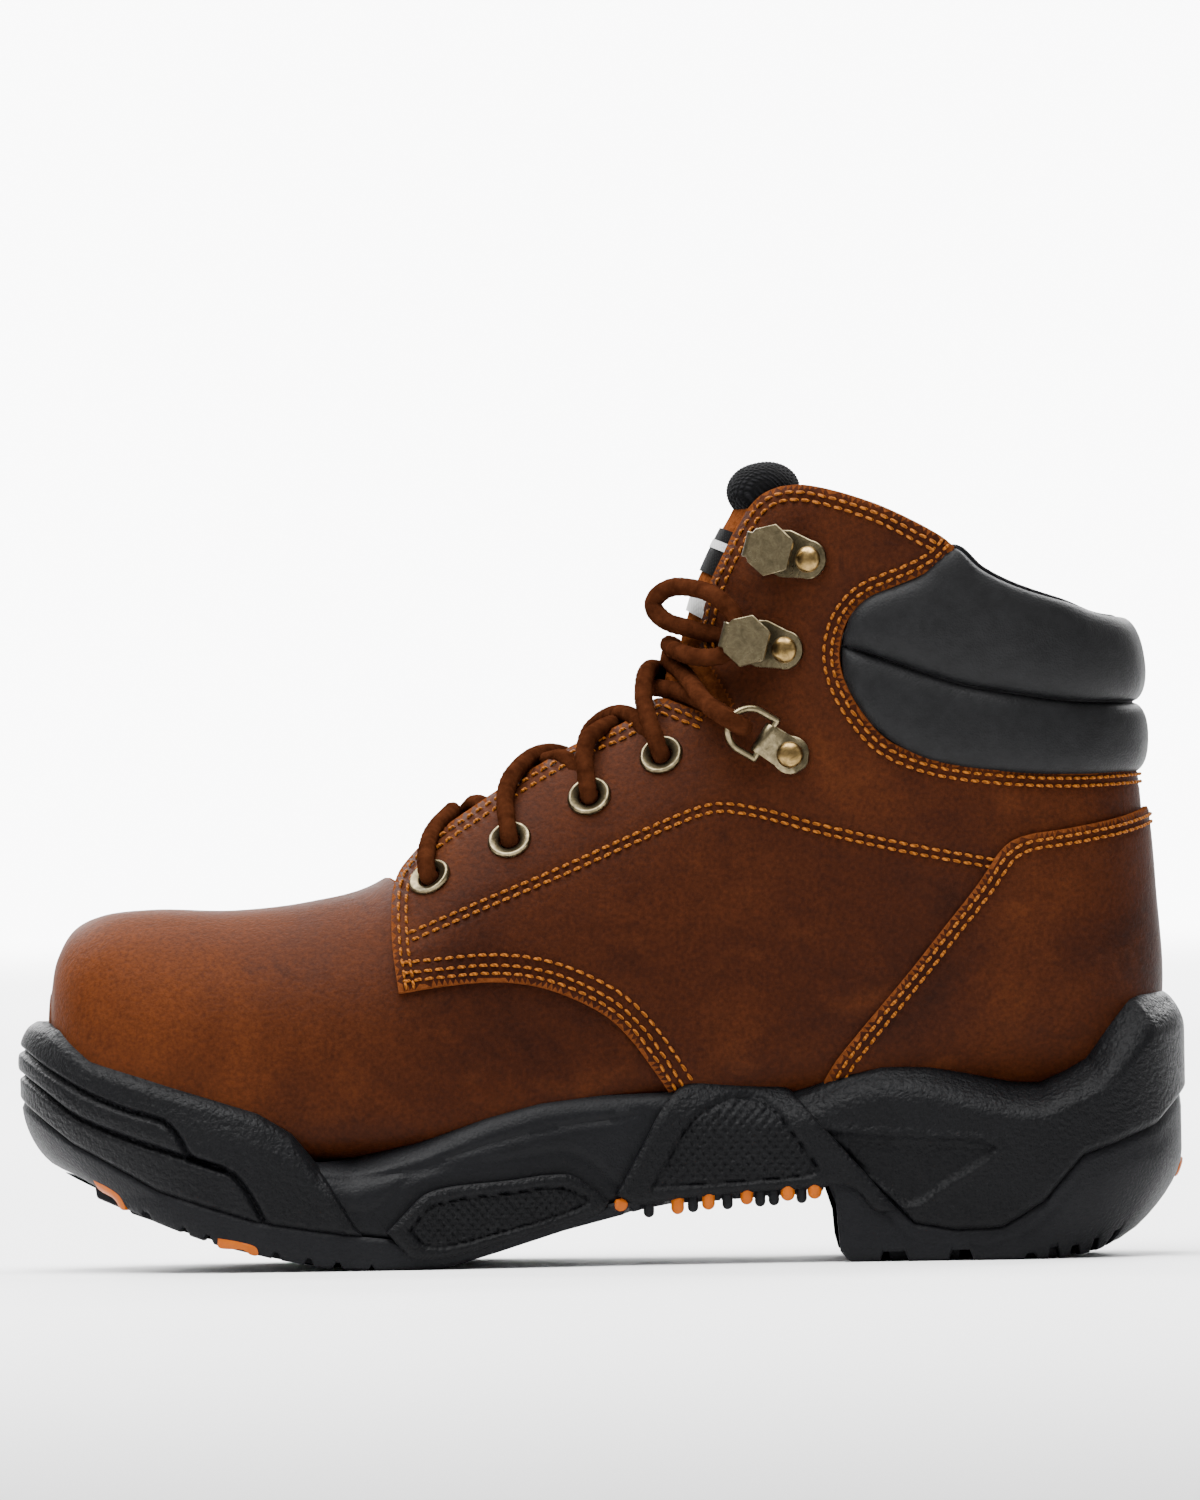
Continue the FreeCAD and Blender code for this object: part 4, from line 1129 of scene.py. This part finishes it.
def build_tongue_roll():
    """Knitted roll along the tongue's top edge, rounded off at both ends."""
    half_width, radius, around = 15.2, 8.6, 150
    u = np.linspace(-1, 1, 130)
    verts = []
    for v in u:
        r = radius * (1 - abs(v) ** 3.4 * 0.93) ** 0.55
        for j in range(around):
            t = 2 * math.pi * j / around
            wobble = 1 + 0.02 * math.sin(3 * t + v * 4) + 0.012 * math.sin(7 * v + 2 * t)
            wobble += 0.022 * math.cos(t * 30) * math.cos(v * half_width * 2 * math.pi / 1.9)
            ahead, rise = r * math.cos(t), r * math.sin(t)
            height = 201.9 + rise * 0.88 * wobble + ahead * 0.05
            verts.append((44.8 + ahead * 1.10 * wobble, 0.5 + v * half_width, height))
    faces = grid_faces(len(u), around, closed=True) + end_faces(len(u), around)
    roll = new_mesh("tongue_top_roll", verts, faces, [KNIT], sharp=80)
    settle(roll, ("tongue_roll",))


# ---- hardware ------------------------------------------------------------------------------------
def seat(place, side, heading):
    """Origin and axes of hardware on the side wall: forward along the heading, across, and outward."""
    x, z = place
    at = on_leather([(x, z, side)])[0]
    along = on_leather([(x + 2, z, side)])[0] - on_leather([(x - 2, z, side)])[0]
    up = on_leather([(x, z + 2, side)])[0] - on_leather([(x, z - 2, side)])[0]
    n = np.cross(along, up)
    n /= np.linalg.norm(n)
    if n[1] * side < 0:
        n = -n
    turn = math.radians(heading)
    forward = np.array([math.cos(turn), 0, math.sin(turn)])
    forward -= n * forward.dot(n)
    forward /= np.linalg.norm(forward)
    return at, np.stack([forward, np.cross(n, forward), n])


def seated(local, place, side, heading):
    at, axes = seat(place, side, heading)
    return at + np.asarray(local, float) @ axes


def lathe_parts(profile, around=40, centre=(0.0, 0.0), squash=(1.0, 1.0)):
    verts = []
    for r, h in profile:
        for k in range(around):
            t = 2 * math.pi * k / around
            verts.append((centre[0] + r * math.cos(t) * squash[0], centre[1] + r * math.sin(t) * squash[1],
                          h))
    return verts, grid_faces(len(profile), around, closed=True)


def strip_parts(path, widths, thick):
    """A bent metal strip: path of (forward, height), half width at each point."""
    path = np.asarray(path, float)
    ahead = np.gradient(path, axis=0)
    ahead /= np.linalg.norm(ahead, axis=1)[:, None]
    over = np.stack([-ahead[:, 1], ahead[:, 0]], axis=1)
    corner = [(1, 0.55), (0.93, 0.93), (0.5, 1), (0, 1), (-0.5, 1), (-0.93, 0.93), (-1, 0.55), (-1, -0.55),
              (-0.93, -0.93), (0, -1), (0.93, -0.93), (1, -0.55)]
    verts = []
    for p, o, w in zip(path, over, widths):
        for cy, ch in corner:
            keen = min(abs(cy), 1.0)
            y = math.copysign(w - (1 - keen) * 3.0 if keen > 0.9 else w * keen, cy) if cy else 0.0
            q = p + o * ch * thick / 2
            verts.append((q[0], y, q[1]))
    return verts, grid_faces(len(path), len(corner), closed=True) + end_faces(len(path), len(corner))


def arc(cx, cy, r, start, end, count=9):
    return [(cx + r * math.cos(math.radians(a)), cy + r * math.sin(math.radians(a)))
            for a in np.linspace(start, end, count)]


def assemble(name, groups, material, smooth_angle=38):
    """One object of several closed shells, each given with its seat."""
    verts, faces = [], []
    for (points, polygons), place, side, heading in groups:
        start = len(verts)
        verts += list(seated(points, place, side, heading))
        faces += [tuple(i + start for i in f) for f in polygons]
    return new_mesh(name, verts, faces, [material], sharp=smooth_angle)


EYELET_PROFILE = [(2.45, -3.2), (2.45, -0.25), (2.6, 0.15), (3.0, 0.42), (3.8, 0.78), (4.3, 1.02),
                  (4.6, 1.12), (4.85, 1.05), (5.1, 0.7), (5.25, 0.2), (5.2, -0.3), (2.6, -0.35)]
DOME_PROFILE = [(3.5, 1.2), (3.5, 1.75), (3.3, 2.25), (2.8, 2.75), (2.0, 3.15), (1.0, 3.35), (0.02, 3.4)]


def hook_parts():
    """A speed hook: a base strap that rises at its front and folds back as a six-sided plate."""
    base = [(a, 1.0) for a in np.linspace(-5.0, 14.4, 26)]
    rise = arc(14.4, 2.7, 1.7, -90, 0) + [(16.1, 4.0)] + arc(14.6, 5.4, 1.5, 0, 90)
    plate = [(a, 6.9) for a in (14.4, 13.9, 13.4, 9.2, 8.8, 8.4, 4.2, 3.7, 2.9)]
    path = base + rise + plate
    widths = [math.sqrt(max(5.1 ** 2 - a * a, 0.6)) if a < 0.4
              else np.interp(a, [0.4, 6.5, 14.4], [5.1, 6.3, 4.6])
              for a, _ in base]
    widths += [3.4] * len(rise)
    widths += [np.interp(a, [2.9, 3.7, 8.8, 13.9, 14.4], [3.7, 4.4, 7.0, 4.5, 3.7]) for a, _ in plate]
    return strip_parts(path, widths, 0.95)


def clip_parts():
    """The strap that holds a D-ring: a base that curls over the ring and turns back under."""
    base = [(a, 0.85) for a in np.linspace(-5.0, 6.6, 10)]
    curl = arc(7.6, 2.6, 1.65, -95, 140, 16)
    back = [(5.2, 3.3), (4.0, 2.5), (2.8, 2.1), (1.0, 2.0), (-1.5, 2.0)]
    path = base + curl + back
    widths = [math.sqrt(max(5.0 ** 2 - a * a, 0.6)) if a < 1.6 else 4.3 for a, _ in base]
    widths += [4.1] * len(curl) + [4.2, 4.3, 4.4, 4.4, 3.6]
    return strip_parts(path, widths, 0.8)


CLIP, CLIP_HEADING, HOOK_HEADING = (51, 132.5), 148.0, 165.0


def build_hardware():
    """Eyelets, hooks, D-ring straps and rivet heads of each side."""
    for name, side in SIDES:
        rings = [(lathe_parts(EYELET_PROFILE, squash=(1.0, 1.12)), p, side, 118) for p in EYELETS]
        settle(assemble("eyelet_rings_" + name, rings, BRASS), ("eyelets_" + name,))
        hooks = [(hook_parts(), p, side, HOOK_HEADING) for p in HOOKS]
        settle(assemble("hooks_" + name, hooks, BRASS), ("speed_hooks_" + name,))
        settle(assemble("ring_strap_" + name, [(clip_parts(), CLIP, side, CLIP_HEADING)], BRASS),
               ("ring_clip_" + name,))
        heads = [(lathe_parts(DOME_PROFILE), p, side, HOOK_HEADING) for p in HOOKS]
        heads.append((lathe_parts([(r, h + 0.8) for r, h in DOME_PROFILE]), CLIP, side, CLIP_HEADING))
        settle(assemble("rivet_heads_" + name, heads, RIVET_BRASS), ("rivets_" + name,))


# ---- lace ----------------------------------------------------------------------------------------
EYESTAY = np.array([(-49, 108), (-40, 116), (-22.5, 127), (-6, 136.8), (11.5, 144), (20, 148)], float)


def eyestay(x):
    """Height of the eyestay's edge at x."""
    return float(np.interp(x, EYESTAY[:, 0], EYESTAY[:, 1]))


def through(place, side, outward):
    """The lace's points on both sides of an eyelet, in the order that it passes them."""
    pair = [seated((0, 0, h), place, side, 30) for h in (-4.0, 3.4)]
    return pair if outward else pair[::-1]


def lace_half(side):
    """Centre line of the lace on one end, from the middle of the first crossing to its tucked end."""
    lift, first = 2.5 * side, EYELETS[0][0]
    line = [(first + 6, side * 12, eyestay(first + 6) + 1.8), (first, side * 19, eyestay(first) + 1.2)]
    line += through(EYELETS[0], side, False)
    line += [(first + 9, side * 9, eyestay(first + 9) - 2.5 + lift),
             (first + 14, side * -8, eyestay(first + 14) - 2.5 + lift)]
    at = -side
    for i in (1, 2):
        line += through(EYELETS[i], at, True)
        x, ahead = EYELETS[i][0], EYELETS[i + 1][0]
        line += [(x - 1.5, at * 21, eyestay(x - 1.5) - 0.6),
                 (x + 4, at * 13, eyestay(x + 4) + 1.9 + 0.5 * lift),
                 (x + 10, at * -7, eyestay(x + 10) + 0.6 + 0.5 * lift),
                 (ahead - 5, at * -16.5, eyestay(ahead - 5) - 3.0)]
        at = -at
    line += through(EYELETS[3], at, True)
    line += [(12, at * 20.5, 148), (13.5, at * 9, 153.5 + lift), (17, at * -8, 153 + lift)]
    at = -at
    line.append((23.5, at * 17, 149.5))
    for a, h in ((25, 1.4), (18, 2.4), (11.9, 7.6), (16.5, 13.2), (24, 11.2)):
        line.append(seated((a, 0, h), CLIP, at, CLIP_HEADING))
    line += [(23, at * 15, 157.5 + lift), (19, at * -1, 160 + lift), (20.5, at * -15, 160.5)]
    at = -at
    for a, b in ((21, 8), (13.0, 4.6), (13.0, -4.6), (20, -9)):
        line.append(seated((a, b * -at, 4.1), HOOKS[0], at, HOOK_HEADING))
    line += [(27.5, at * 17.5, 176.5), (20, at * 10, 177.5), (14.5, at * 7, 173), (18, at * 10.5, 168),
             (25, at * 16, 166), (34, at * 18.5, 163.5), (45, at * 21, 158), (55, at * 22, 148),
             (64, at * 22.5, 135), (71, at * 22.5, 120)]
    return [np.array(p, float) for p in line]


def nurbs_line(points, step):
    """Points read from a NURBS curve of these control points, evenly spaced."""
    data = bpy.data.curves.new("route", "CURVE")
    data.dimensions = "3D"
    run = data.splines.new("NURBS")
    run.points.add(len(points) - 1)
    for spot, p in zip(run.points, points):
        spot.co = (*(p * MM), 1.0)
    run.order_u = 3
    run.use_endpoint_u = True
    run.resolution_u = 16
    holder = bpy.data.objects.new("route", data)
    bpy.context.collection.objects.link(holder)
    bpy.context.view_layer.update()
    mesh = bpy.data.meshes.new_from_object(holder)
    line = np.array([tuple(v.co) for v in mesh.vertices]) / MM
    bpy.data.objects.remove(holder)
    bpy.data.meshes.remove(mesh)
    return even(line, step)


LACE_RADIUS = 2.35
BRAID_PITCH = 4.4


def build_lace():
    """Round lace drawn snug through the eyelets, the D-rings and the lower hooks."""
    points = lace_half(1)[::-1] + lace_half(-1)
    line = nurbs_line(points, 0.55)

    def braid(along, turn):
        climb = along * 2 * math.pi / BRAID_PITCH
        cross = np.cos(4 * turn + climb) * np.cos(4 * turn - climb)
        return 1 + 0.075 * cross + 0.012 * np.sin(along * 0.9)

    lace = tube_mesh("lace_braid", line, LACE_RADIUS, [LACE], 20, braid)
    settle(lace, ("lace",))
    for name, side in SIDES:
        end = lace_half(side)
        way = end[-1] - end[-2]
        way /= np.linalg.norm(way)
        tip = np.array([end[-1] + way * t for t in np.linspace(-0.5, 18, 20)])
        settle(tube_mesh("lace_tip_" + name, tip, 1.75, [SMOOTH_SOLE], 16), ("aglet_" + name,))


# ---- sole ----------------------------------------------------------------------------------------
OUTSOLE_TOP = [(-153, 45.5), (-140, 33.8), (-117, 21.5), (-90, 13), (-74, 10.4), (-63, 9), (-56, 8.2),
               (-47, 6), (-28, 9), (-10, 13.5), (3, 16.5), (14, 19), (57, 22.5), (60, 30), (62, 30),
               (70, 21), (81, 9.8), (92, 8), (104, 8.5), (115, 15), (125.5, 27), (134, 30), (145, 34.6),
               (153, 43.5)]
BUMPER_TOP = [(-153, 66), (-145, 63.5), (-135, 55.5), (-114, 48.7), (-90, 41.6), (-81, 36), (-74, 27.5),
              (-65, 12), (-62.5, 9)]
MIDSOLE_TOP = [(-84, 31), (-74, 28.3), (-65, 29), (-47, 33), (-29, 39.5), (-15, 43.2), (-3, 44.4), (19, 45),
               (66, 47)]
WRAP_TOP = [(46, 40), (50, 44.3), (57, 47.5), (64.6, 50.5), (73.5, 52), (85, 51.5), (96, 49.5), (107, 46.8),
            (115, 46.5), (122, 48.8), (130, 53.5), (137, 60), (143.6, 67), (147, 69.5), (152.5, 70)]


def side_view(line):
    """Height at a way along the plan's edge, from a side-view line of x and z."""
    line = np.array(line, float)
    return lambda s: np.interp(plan_at(np.atleast_1d(s))[0][:, 0], line[:, 0], line[:, 1])


def wall_block(name, ways, foot, top, rows, thick, material, relief, closed=False, roll=1.2):
    """A band of the sole's wall between two heights, with rounded edges and a back inside the sole."""
    share = np.concatenate([[0.0], np.linspace(0.012, 0.988, rows - 2), [1.0]])
    low, high = foot(ways), top(ways)
    s = np.repeat(ways, rows)
    z = (low[:, None] + (high - low)[:, None] * share[None, :]).reshape(-1)
    base = on_wall(np.stack([s, z], axis=1))
    _, out = plan_at(s)
    rim = np.minimum(z - np.repeat(low, rows), np.repeat(high, rows) - z)
    proud = relief(np.stack([s, z], axis=1)) - roll * np.clip(1 - rim / (roll * 1.6), 0, 1) ** 2
    outer = base.copy()
    outer[:, :2] += out * proud[:, None]
    inner = base.copy()
    inner[:, :2] -= out * thick
    n, count = len(ways), len(outer)
    front = grid_faces(n, rows)
    if closed:
        front += [((n - 1) * rows + k, (n - 1) * rows + k + 1, k + 1, k) for k in range(rows - 1)]
    faces = [f[::-1] for f in front] + [tuple(i + count for i in f) for f in front]
    last = n if closed else n - 1
    for a in range(last):
        b = (a + 1) % n
        faces.append((a * rows, b * rows, b * rows + count, a * rows + count))
        top_a, top_b = a * rows + rows - 1, b * rows + rows - 1
        faces.append((top_a, top_a + count, top_b + count, top_b))
    if not closed:
        for a, turned_over in ((0, False), ((n - 1) * rows, True)):
            for k in range(rows - 1):
                f = (a + k, a + k + count, a + k + 1 + count, a + k + 1)
                faces.append(f[::-1] if turned_over else f)
    return new_mesh(name, np.vstack([outer, inner]), faces, [material], sharp=42)


def one_side(line, side, back=0.0):
    """A side-view line laid along one wall, as evenly spaced points."""
    return even(wall_points(spline(line), side) - (back, 0), 0.8)


def both_sides(line):
    return np.vstack([one_side(line, -1), one_side(line, 1, PLAN_LENGTH)])


def build_bumper():
    """The toe's bumper, with two stepped grooves and a rounded belt between them."""
    start = along_plan(-63, -1)
    ways = np.linspace(along_plan(-63, 1) - PLAN_LENGTH, start, 460)
    lines = [both_sides([(-152, 58.5), (-146, 54), (-135, 47.3), (-125, 43), (-114, 39.3), (-110.5, 35.5),
                         (-107.4, 30)]),
             both_sides([(-152, 52), (-146, 47.5), (-137, 40.8), (-124, 35.3), (-110, 30.6), (-99, 27),
                         (-95.5, 24.8), (-92, 20), (-88.7, 13.8)]),
             both_sides([(-107.4, 30), (-99, 27)])]
    belt = both_sides([(-152, 55), (-146, 51), (-136, 44), (-124, 39), (-112, 34.5), (-103, 30), (-97, 26),
                       (-93, 20)])
    edge = both_sides([(-145, 61), (-135, 52.6), (-114, 45.7), (-90, 38.4), (-81, 33), (-75, 24),
                       (-67, 10)])

    def relief(flat):
        out = np.full(len(flat), 0.5)
        for line in lines:
            out += ridge(flat, line, 0.8, -2.0)
        return out + ridge(flat, belt, 3.0, 0.5) + ridge(flat, edge, 1.6, 0.45)

    block = wall_block("bumper_wall", ways, side_view(OUTSOLE_TOP), side_view(BUMPER_TOP), 60, 4.2, PEBBLE,
                       relief)
    settle(block, ("toe_bumper",))


def build_outsole():
    """The band of rubber next to the ground, notched between its lugs."""
    ways = np.linspace(0, PLAN_LENGTH, 760, endpoint=False)
    slots = [(72.5, 78.5, 2.6), (90.5, 95.5, 2.8), (110, 112.5, 1.6), (116.5, 119, 3.0), (123.5, 126, 2.6),
             (130.5, 133, 3.4), (139.5, 142, 4.2), (-122, -120, 1.6), (-111, -109, 1.6),
             (-104, -102, 1.8), (-86.5, -84.5, 1.8), (-78, -76, 1.8), (-70, -68, 1.6), (-61, -59.5, 1.5)]

    def foot(s):
        x = plan_at(np.atleast_1d(s))[0][:, 0]
        z = ground(x)
        for a, b, high in slots:
            z = z + high * ((x > a) & (x < b))
        under_arch = (x > 6) & (x < 60)
        return z + 1.4 * (under_arch & (np.sin(x * 2 * math.pi / 5.2) > 0.2))

    step_line = both_sides([(60.5, 24), (72, 15), (81, 5.5), (92, 4), (104, 4.5), (115, 10.5), (126, 22.5),
                            (134, 25.6), (145, 30), (151, 36)])

    def relief(flat):
        return 0.15 + ridge(flat, step_line, 0.8, -0.5)

    block = wall_block("outsole_wall", ways, foot, side_view(OUTSOLE_TOP), 16, 5.0, OUTSOLE, relief,
                       closed=True, roll=0.8)
    settle(block, ("outsole",))


def build_midsole():
    """The smooth band between the bumper and the heel's wrap, one piece for each side."""
    for name, side in SIDES:
        ways = np.linspace(along_plan(-80, side), along_plan(64, side), 190)
        ways = ways if side < 0 else ways[::-1]
        bevel = one_side([(-74, 24), (-65, 24), (-47, 26.5), (-33, 31), (-20, 34.5), (-10, 36.5), (-1, 38),
                          (12, 40)],
                         side)
        swoop = one_side([(-70, 16), (-60, 15.5), (-50, 24), (-40, 26.5), (-22, 28.5), (-9, 30), (-1, 26),
                          (5, 20)],
                         side)

        def relief(flat):
            top = side_view(MIDSOLE_TOP)(flat[:, 0])
            upper = np.clip((flat[:, 1] - (top - 6.5)) / 2.0, 0, 1)
            return -0.9 + 0.8 * upper + ridge(flat, bevel, 0.8, -0.6) + ridge(flat, swoop, 0.9, -0.5)

        block = wall_block("midsole_wall_" + name, ways, side_view(OUTSOLE_TOP), side_view(MIDSOLE_TOP), 30,
                           5.0, SMOOTH_SOLE, relief)
        settle(block, ("midsole",) if side < 0 else ())


def build_wrap():
    """The heel's wrap, with a sunk panel on each side."""
    ways = np.linspace(along_plan(50, -1), along_plan(50, 1), 460)
    inset = spline([(52, 35.5), (75, 33.2), (101, 31.2), (103.5, 29.4), (101, 26.5), (90, 19.5), (80, 14),
                    (75, 17), (66, 24), (56, 31), (51, 34)])
    insets = [wall_points(inset, side) for side in (-1, 1)]
    edges = np.vstack([even(line, 0.7, closed=True) for line in insets])
    rim = both_sides([(52, 41), (64.6, 46.8), (73.5, 48.2), (85, 47.8), (96, 46), (107, 43.4), (116, 43.4),
                      (130, 50), (143, 62.5), (151, 66.5)])

    def relief(flat):
        near = nearest(flat, edges)
        within = inside(flat, insets[0]) | inside(flat, insets[1])
        x = plan_at(flat[:, 0])[0][:, 0]
        sunk = np.where(within, np.clip(near / 1.6, 0, 1), 0.0)
        swell = np.clip((x - 70) / 30, 0, 1)
        return 0.3 + swell + ridge(flat, edges, 1.3, 0.55) - 1.3 * sunk + ridge(flat, rim, 1.0, -0.35)

    block = wall_block("heel_wrap_wall", ways, side_view(OUTSOLE_TOP), side_view(WRAP_TOP), 56, 4.6, PEBBLE,
                       relief, roll=1.6)
    settle(block, ("heel_wrap",))


ARCH_PANEL = [[(3.5, 18.5), (8.2, 27), (11.5, 33), (15, 39.5), (19.4, 44.7), (23, 46.8), (29, 48.2),
               (36, 49), (43, 48), (49, 44.5), (58, 35), (68, 23.7), (77, 13)],
              [(77, 13), (71, 13.5), (66, 19), (60, 20.5), (58, 19.8)],
              [(58, 19.8), (40, 19), (20, 17.5), (9, 16.2), (3.5, 18.5)]]
ARCH_INSET = [(13, 20.5), (16, 26), (21.5, 35), (26, 39.3), (32, 42), (40, 42.6), (45, 39.5), (49.5, 34),
              (53, 29.5), (56, 24), (52, 22.8), (35, 21.5), (13, 20.5)]
FORE_PANEL = [[(-56.5, 10), (-51.5, 15), (-47, 19.3), (-42, 21.2), (-24, 23), (-14, 24.2), (-8.5, 24),
               (-3, 20.6), (1.5, 17)],
              [(1.5, 17), (-1, 14), (-10, 11.5), (-28, 6.6), (-42, 3.2), (-50, 3.4), (-56.5, 10)]]
FORE_INSET = [(-50.5, 10.5), (-45, 16.6), (-40, 18), (-24, 19.8), (-11, 20.8), (-4, 17.2), (-12, 13.6),
              (-28, 9.2), (-41, 6.2), (-47, 6.6), (-50.5, 10.5)]


def build_panels():
    """Raised panels at the arch and the forefoot, each with a sunk, dotted field."""
    for name, side in SIDES:
        for label, outline, inset, pitch in (("arch", join(*ARCH_PANEL), ARCH_INSET, 2.9),
                                             ("forefoot", join(*FORE_PANEL), FORE_INSET, 2.6)):
            flat_line = wall_points(outline, side)
            inner = wall_points(spline(inset), side)
            ring = even(inner, 0.6)

            def relief(flat):
                near = nearest(flat, ring)
                within = inside(flat, inner)
                dots = np.cos(flat[:, 0] * 2 * math.pi / pitch) * np.cos(flat[:, 1] * 2 * math.pi / pitch)
                dotted = np.where(within & (near > 0.8), -0.8 * np.clip(dots, 0, 1), 0.0)
                return dotted + np.where(within, -0.45, 0.0) + ridge(flat, ring, 0.6, -0.95)

            panel = sheet_mesh(label + "_overlay_" + name, flat_line, on_wall, 3.0, [PEBBLE], 0.62,
                               lift=1.9, relief=relief, roll=0.9)
            settle(panel, (label + "_panel_" + name,))


PEGS = [(19.5, 15.4, 1.7), (27.5, 16.4, 1.7), (37.5, 17.6, 1.7), (48.2, 18.6, 1.9), (55.2, 19.0, 1.9)]
BLACK_PEGS = (12, 23.5, 32.5, 41, 44.6, 51.8)
INSERTS = [[(-137.5, 24.4), (-133, 22.6), (-129.5, 20.2), (-128, 16.6), (-130, 16.9), (-132, 19.2),
            (-137.5, 22.0)],
           [(-100.5, 9.2), (-95, 8.2), (-90.5, 6.6), (-90.2, 4.6), (-92, 4.7), (-94, 6.1), (-100.5, 6.8)],
           [(3.4, 17.2), (5.0, 17.6), (6.4, 16.2), (5.6, 14.6), (4.0, 14.4), (3.0, 15.4)]]


def peg_row(name, pegs, material):
    """Round pegs that hang under the arch, each given by its place in the side view and its radius."""
    verts, faces = [], []
    for _, side in SIDES:
        for x, z, r in pegs:
            foot = on_wall(np.array([(along_plan(x, side), z + 1.5)]))[0]
            _, out = plan_at(np.array([along_plan(x, side)]))
            centre = foot - np.array([out[0, 0], out[0, 1], 0]) * 0.2
            start = len(verts)
            profile = [(0.02, -r)] + [(r * math.cos(t), r * math.sin(t)) for t in np.linspace(-1.45, 0, 7)]
            profile += [(r, 3.0), (r * 0.8, 3.9), (0.02, 4.2)]
            points, polygons = lathe_parts(profile, 18)
            verts += [centre + np.array(p) - (0, 0, 2.0) for p in points]
            faces += [tuple(i + start for i in f) for f in polygons]
    return new_mesh(name, verts, faces, [material])


def build_pegs():
    """The arch's orange pegs, and the black ones between them."""
    settle(peg_row("orange_pegs", PEGS, ORANGE), ("arch_pegs",))
    black = [(x, float(ground(x)) - 0.6, 1.4) for x in BLACK_PEGS]
    settle(peg_row("black_pegs", black, OUTSOLE))


def build_inserts():
    """Orange inserts at the toe, at the front of the arch and at the back of the heel."""
    for name, side in SIDES:
        for k, strip in enumerate(INSERTS):
            line = wall_points(spline(strip + strip[:1]), side)
            piece = sheet_mesh("orange_insert_%s_%d" % (name, k), line, on_wall, 2.4, [ORANGE], 0.7, lift=0.55,
                               roll=0.4)
            settle(piece, ("toe_lug_inserts",) if side < 0 and k == 0 else ())
    heel = [(HALF_WAY + 4.5 * math.cos(t), 22.8 + 2.6 * math.sin(t)) for t in np.arange(24) * 2 * math.pi / 24]
    piece = sheet_mesh("orange_insert_heel", heel, on_wall, 2.4, [ORANGE], 0.7, lift=0.75, roll=0.4)
    settle(piece)


LUG_PITCH = 11.0
HEEL_BREAST = (54, 66)     # stretch in front of the heel that has no lugs


def build_tread():
    """The underside: a floor set up into the sole, with separate lugs standing on it."""
    ways = np.linspace(0, PLAN_LENGTH, 360, endpoint=False)
    place, out = plan_at(ways)
    edge = on_wall(np.stack([ways, ground(place[:, 0]) + 0.5], axis=1))[:, :2] - out * 2.2
    flat, tris, _ = triangles(edge, 4.0)
    verts = np.stack([flat[:, 0], flat[:, 1], ground(flat[:, 0]) + 3.0], axis=1)
    floor = new_mesh("tread_floor", verts, [tuple(t[::-1]) for t in tris], [OUTSOLE])
    settle(floor)
    verts, faces = [], []
    for x in np.arange(-129, 140, LUG_PITCH):
        if HEEL_BREAST[0] < x < HEEL_BREAST[1]:
            continue
        near = edge[np.abs(edge[:, 0] - x) < 4]
        low, high = near[:, 1].min() + 1.0, near[:, 1].max() - 1.0
        count = max(int((high - low) / 15), 2)
        for k in range(count):
            a = low + (high - low) * k / count + 1.3
            b = low + (high - low) * (k + 1) / count - 1.3
            slant = 2.2 * math.sin((k + 0.5) / count * 2 * math.pi)
            corners = [(x - 3.9 - slant, a), (x + 3.3 - slant, a), (x + 4.6 + slant, b), (x - 2.6 + slant, b)]
            if not inside(np.array(corners), edge).all():
                continue
            start = len(verts)
            middle = np.mean(corners, axis=0)
            for depth, share in ((3.2, 1.06), (0.5, 0.97), (0.05, 0.88)):
                for c in corners:
                    p = middle + (np.array(c) - middle) * share
                    verts.append((p[0], p[1], float(ground(p[0])) + depth))
            for layer in (0, 4):
                for j in range(4):
                    i = (j + 1) % 4
                    low_j, low_i = start + layer + j, start + layer + i
                    faces.append((low_j, low_j + 4, low_i + 4, low_i))
            faces.append((start + 8, start + 11, start + 10, start + 9))
    settle(new_mesh("tread_lugs", verts, faces, [OUTSOLE], sharp=30))


# ---- finish --------------------------------------------------------------------------------------
NODE_MATERIALS = {"collar_lining": TEXTILE, "heel_stiffener": BOARD, "insole_board": BOARD,
                  "footbed": FOOTBED_TOP, "quarter_lining_medial": TEXTILE,
                  "quarter_lining_lateral": TEXTILE, "steel_shank": STEEL, "steel_toe_cap": STEEL,
                  "toe_cap_edge_foam": FOAM, "vamp_lining": TEXTILE, "d_ring_medial": BRASS,
                  "d_ring_lateral": BRASS}


def paint_nodes(nodes):
    """Materials of the CAD nodes that stay visible."""
    for name, material in NODE_MATERIALS.items():
        nodes[name].data.materials.clear()
        nodes[name].data.materials.append(material)


make_stage()
build_lace()
build_vamp()
build_quarters()
build_counter()
build_collar()
build_tongue()
build_tongue_roll()
build_hardware()
build_bumper()
build_outsole()
build_midsole()
build_wrap()
build_panels()
build_pegs()
build_inserts()
build_tread()
paint_nodes(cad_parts)
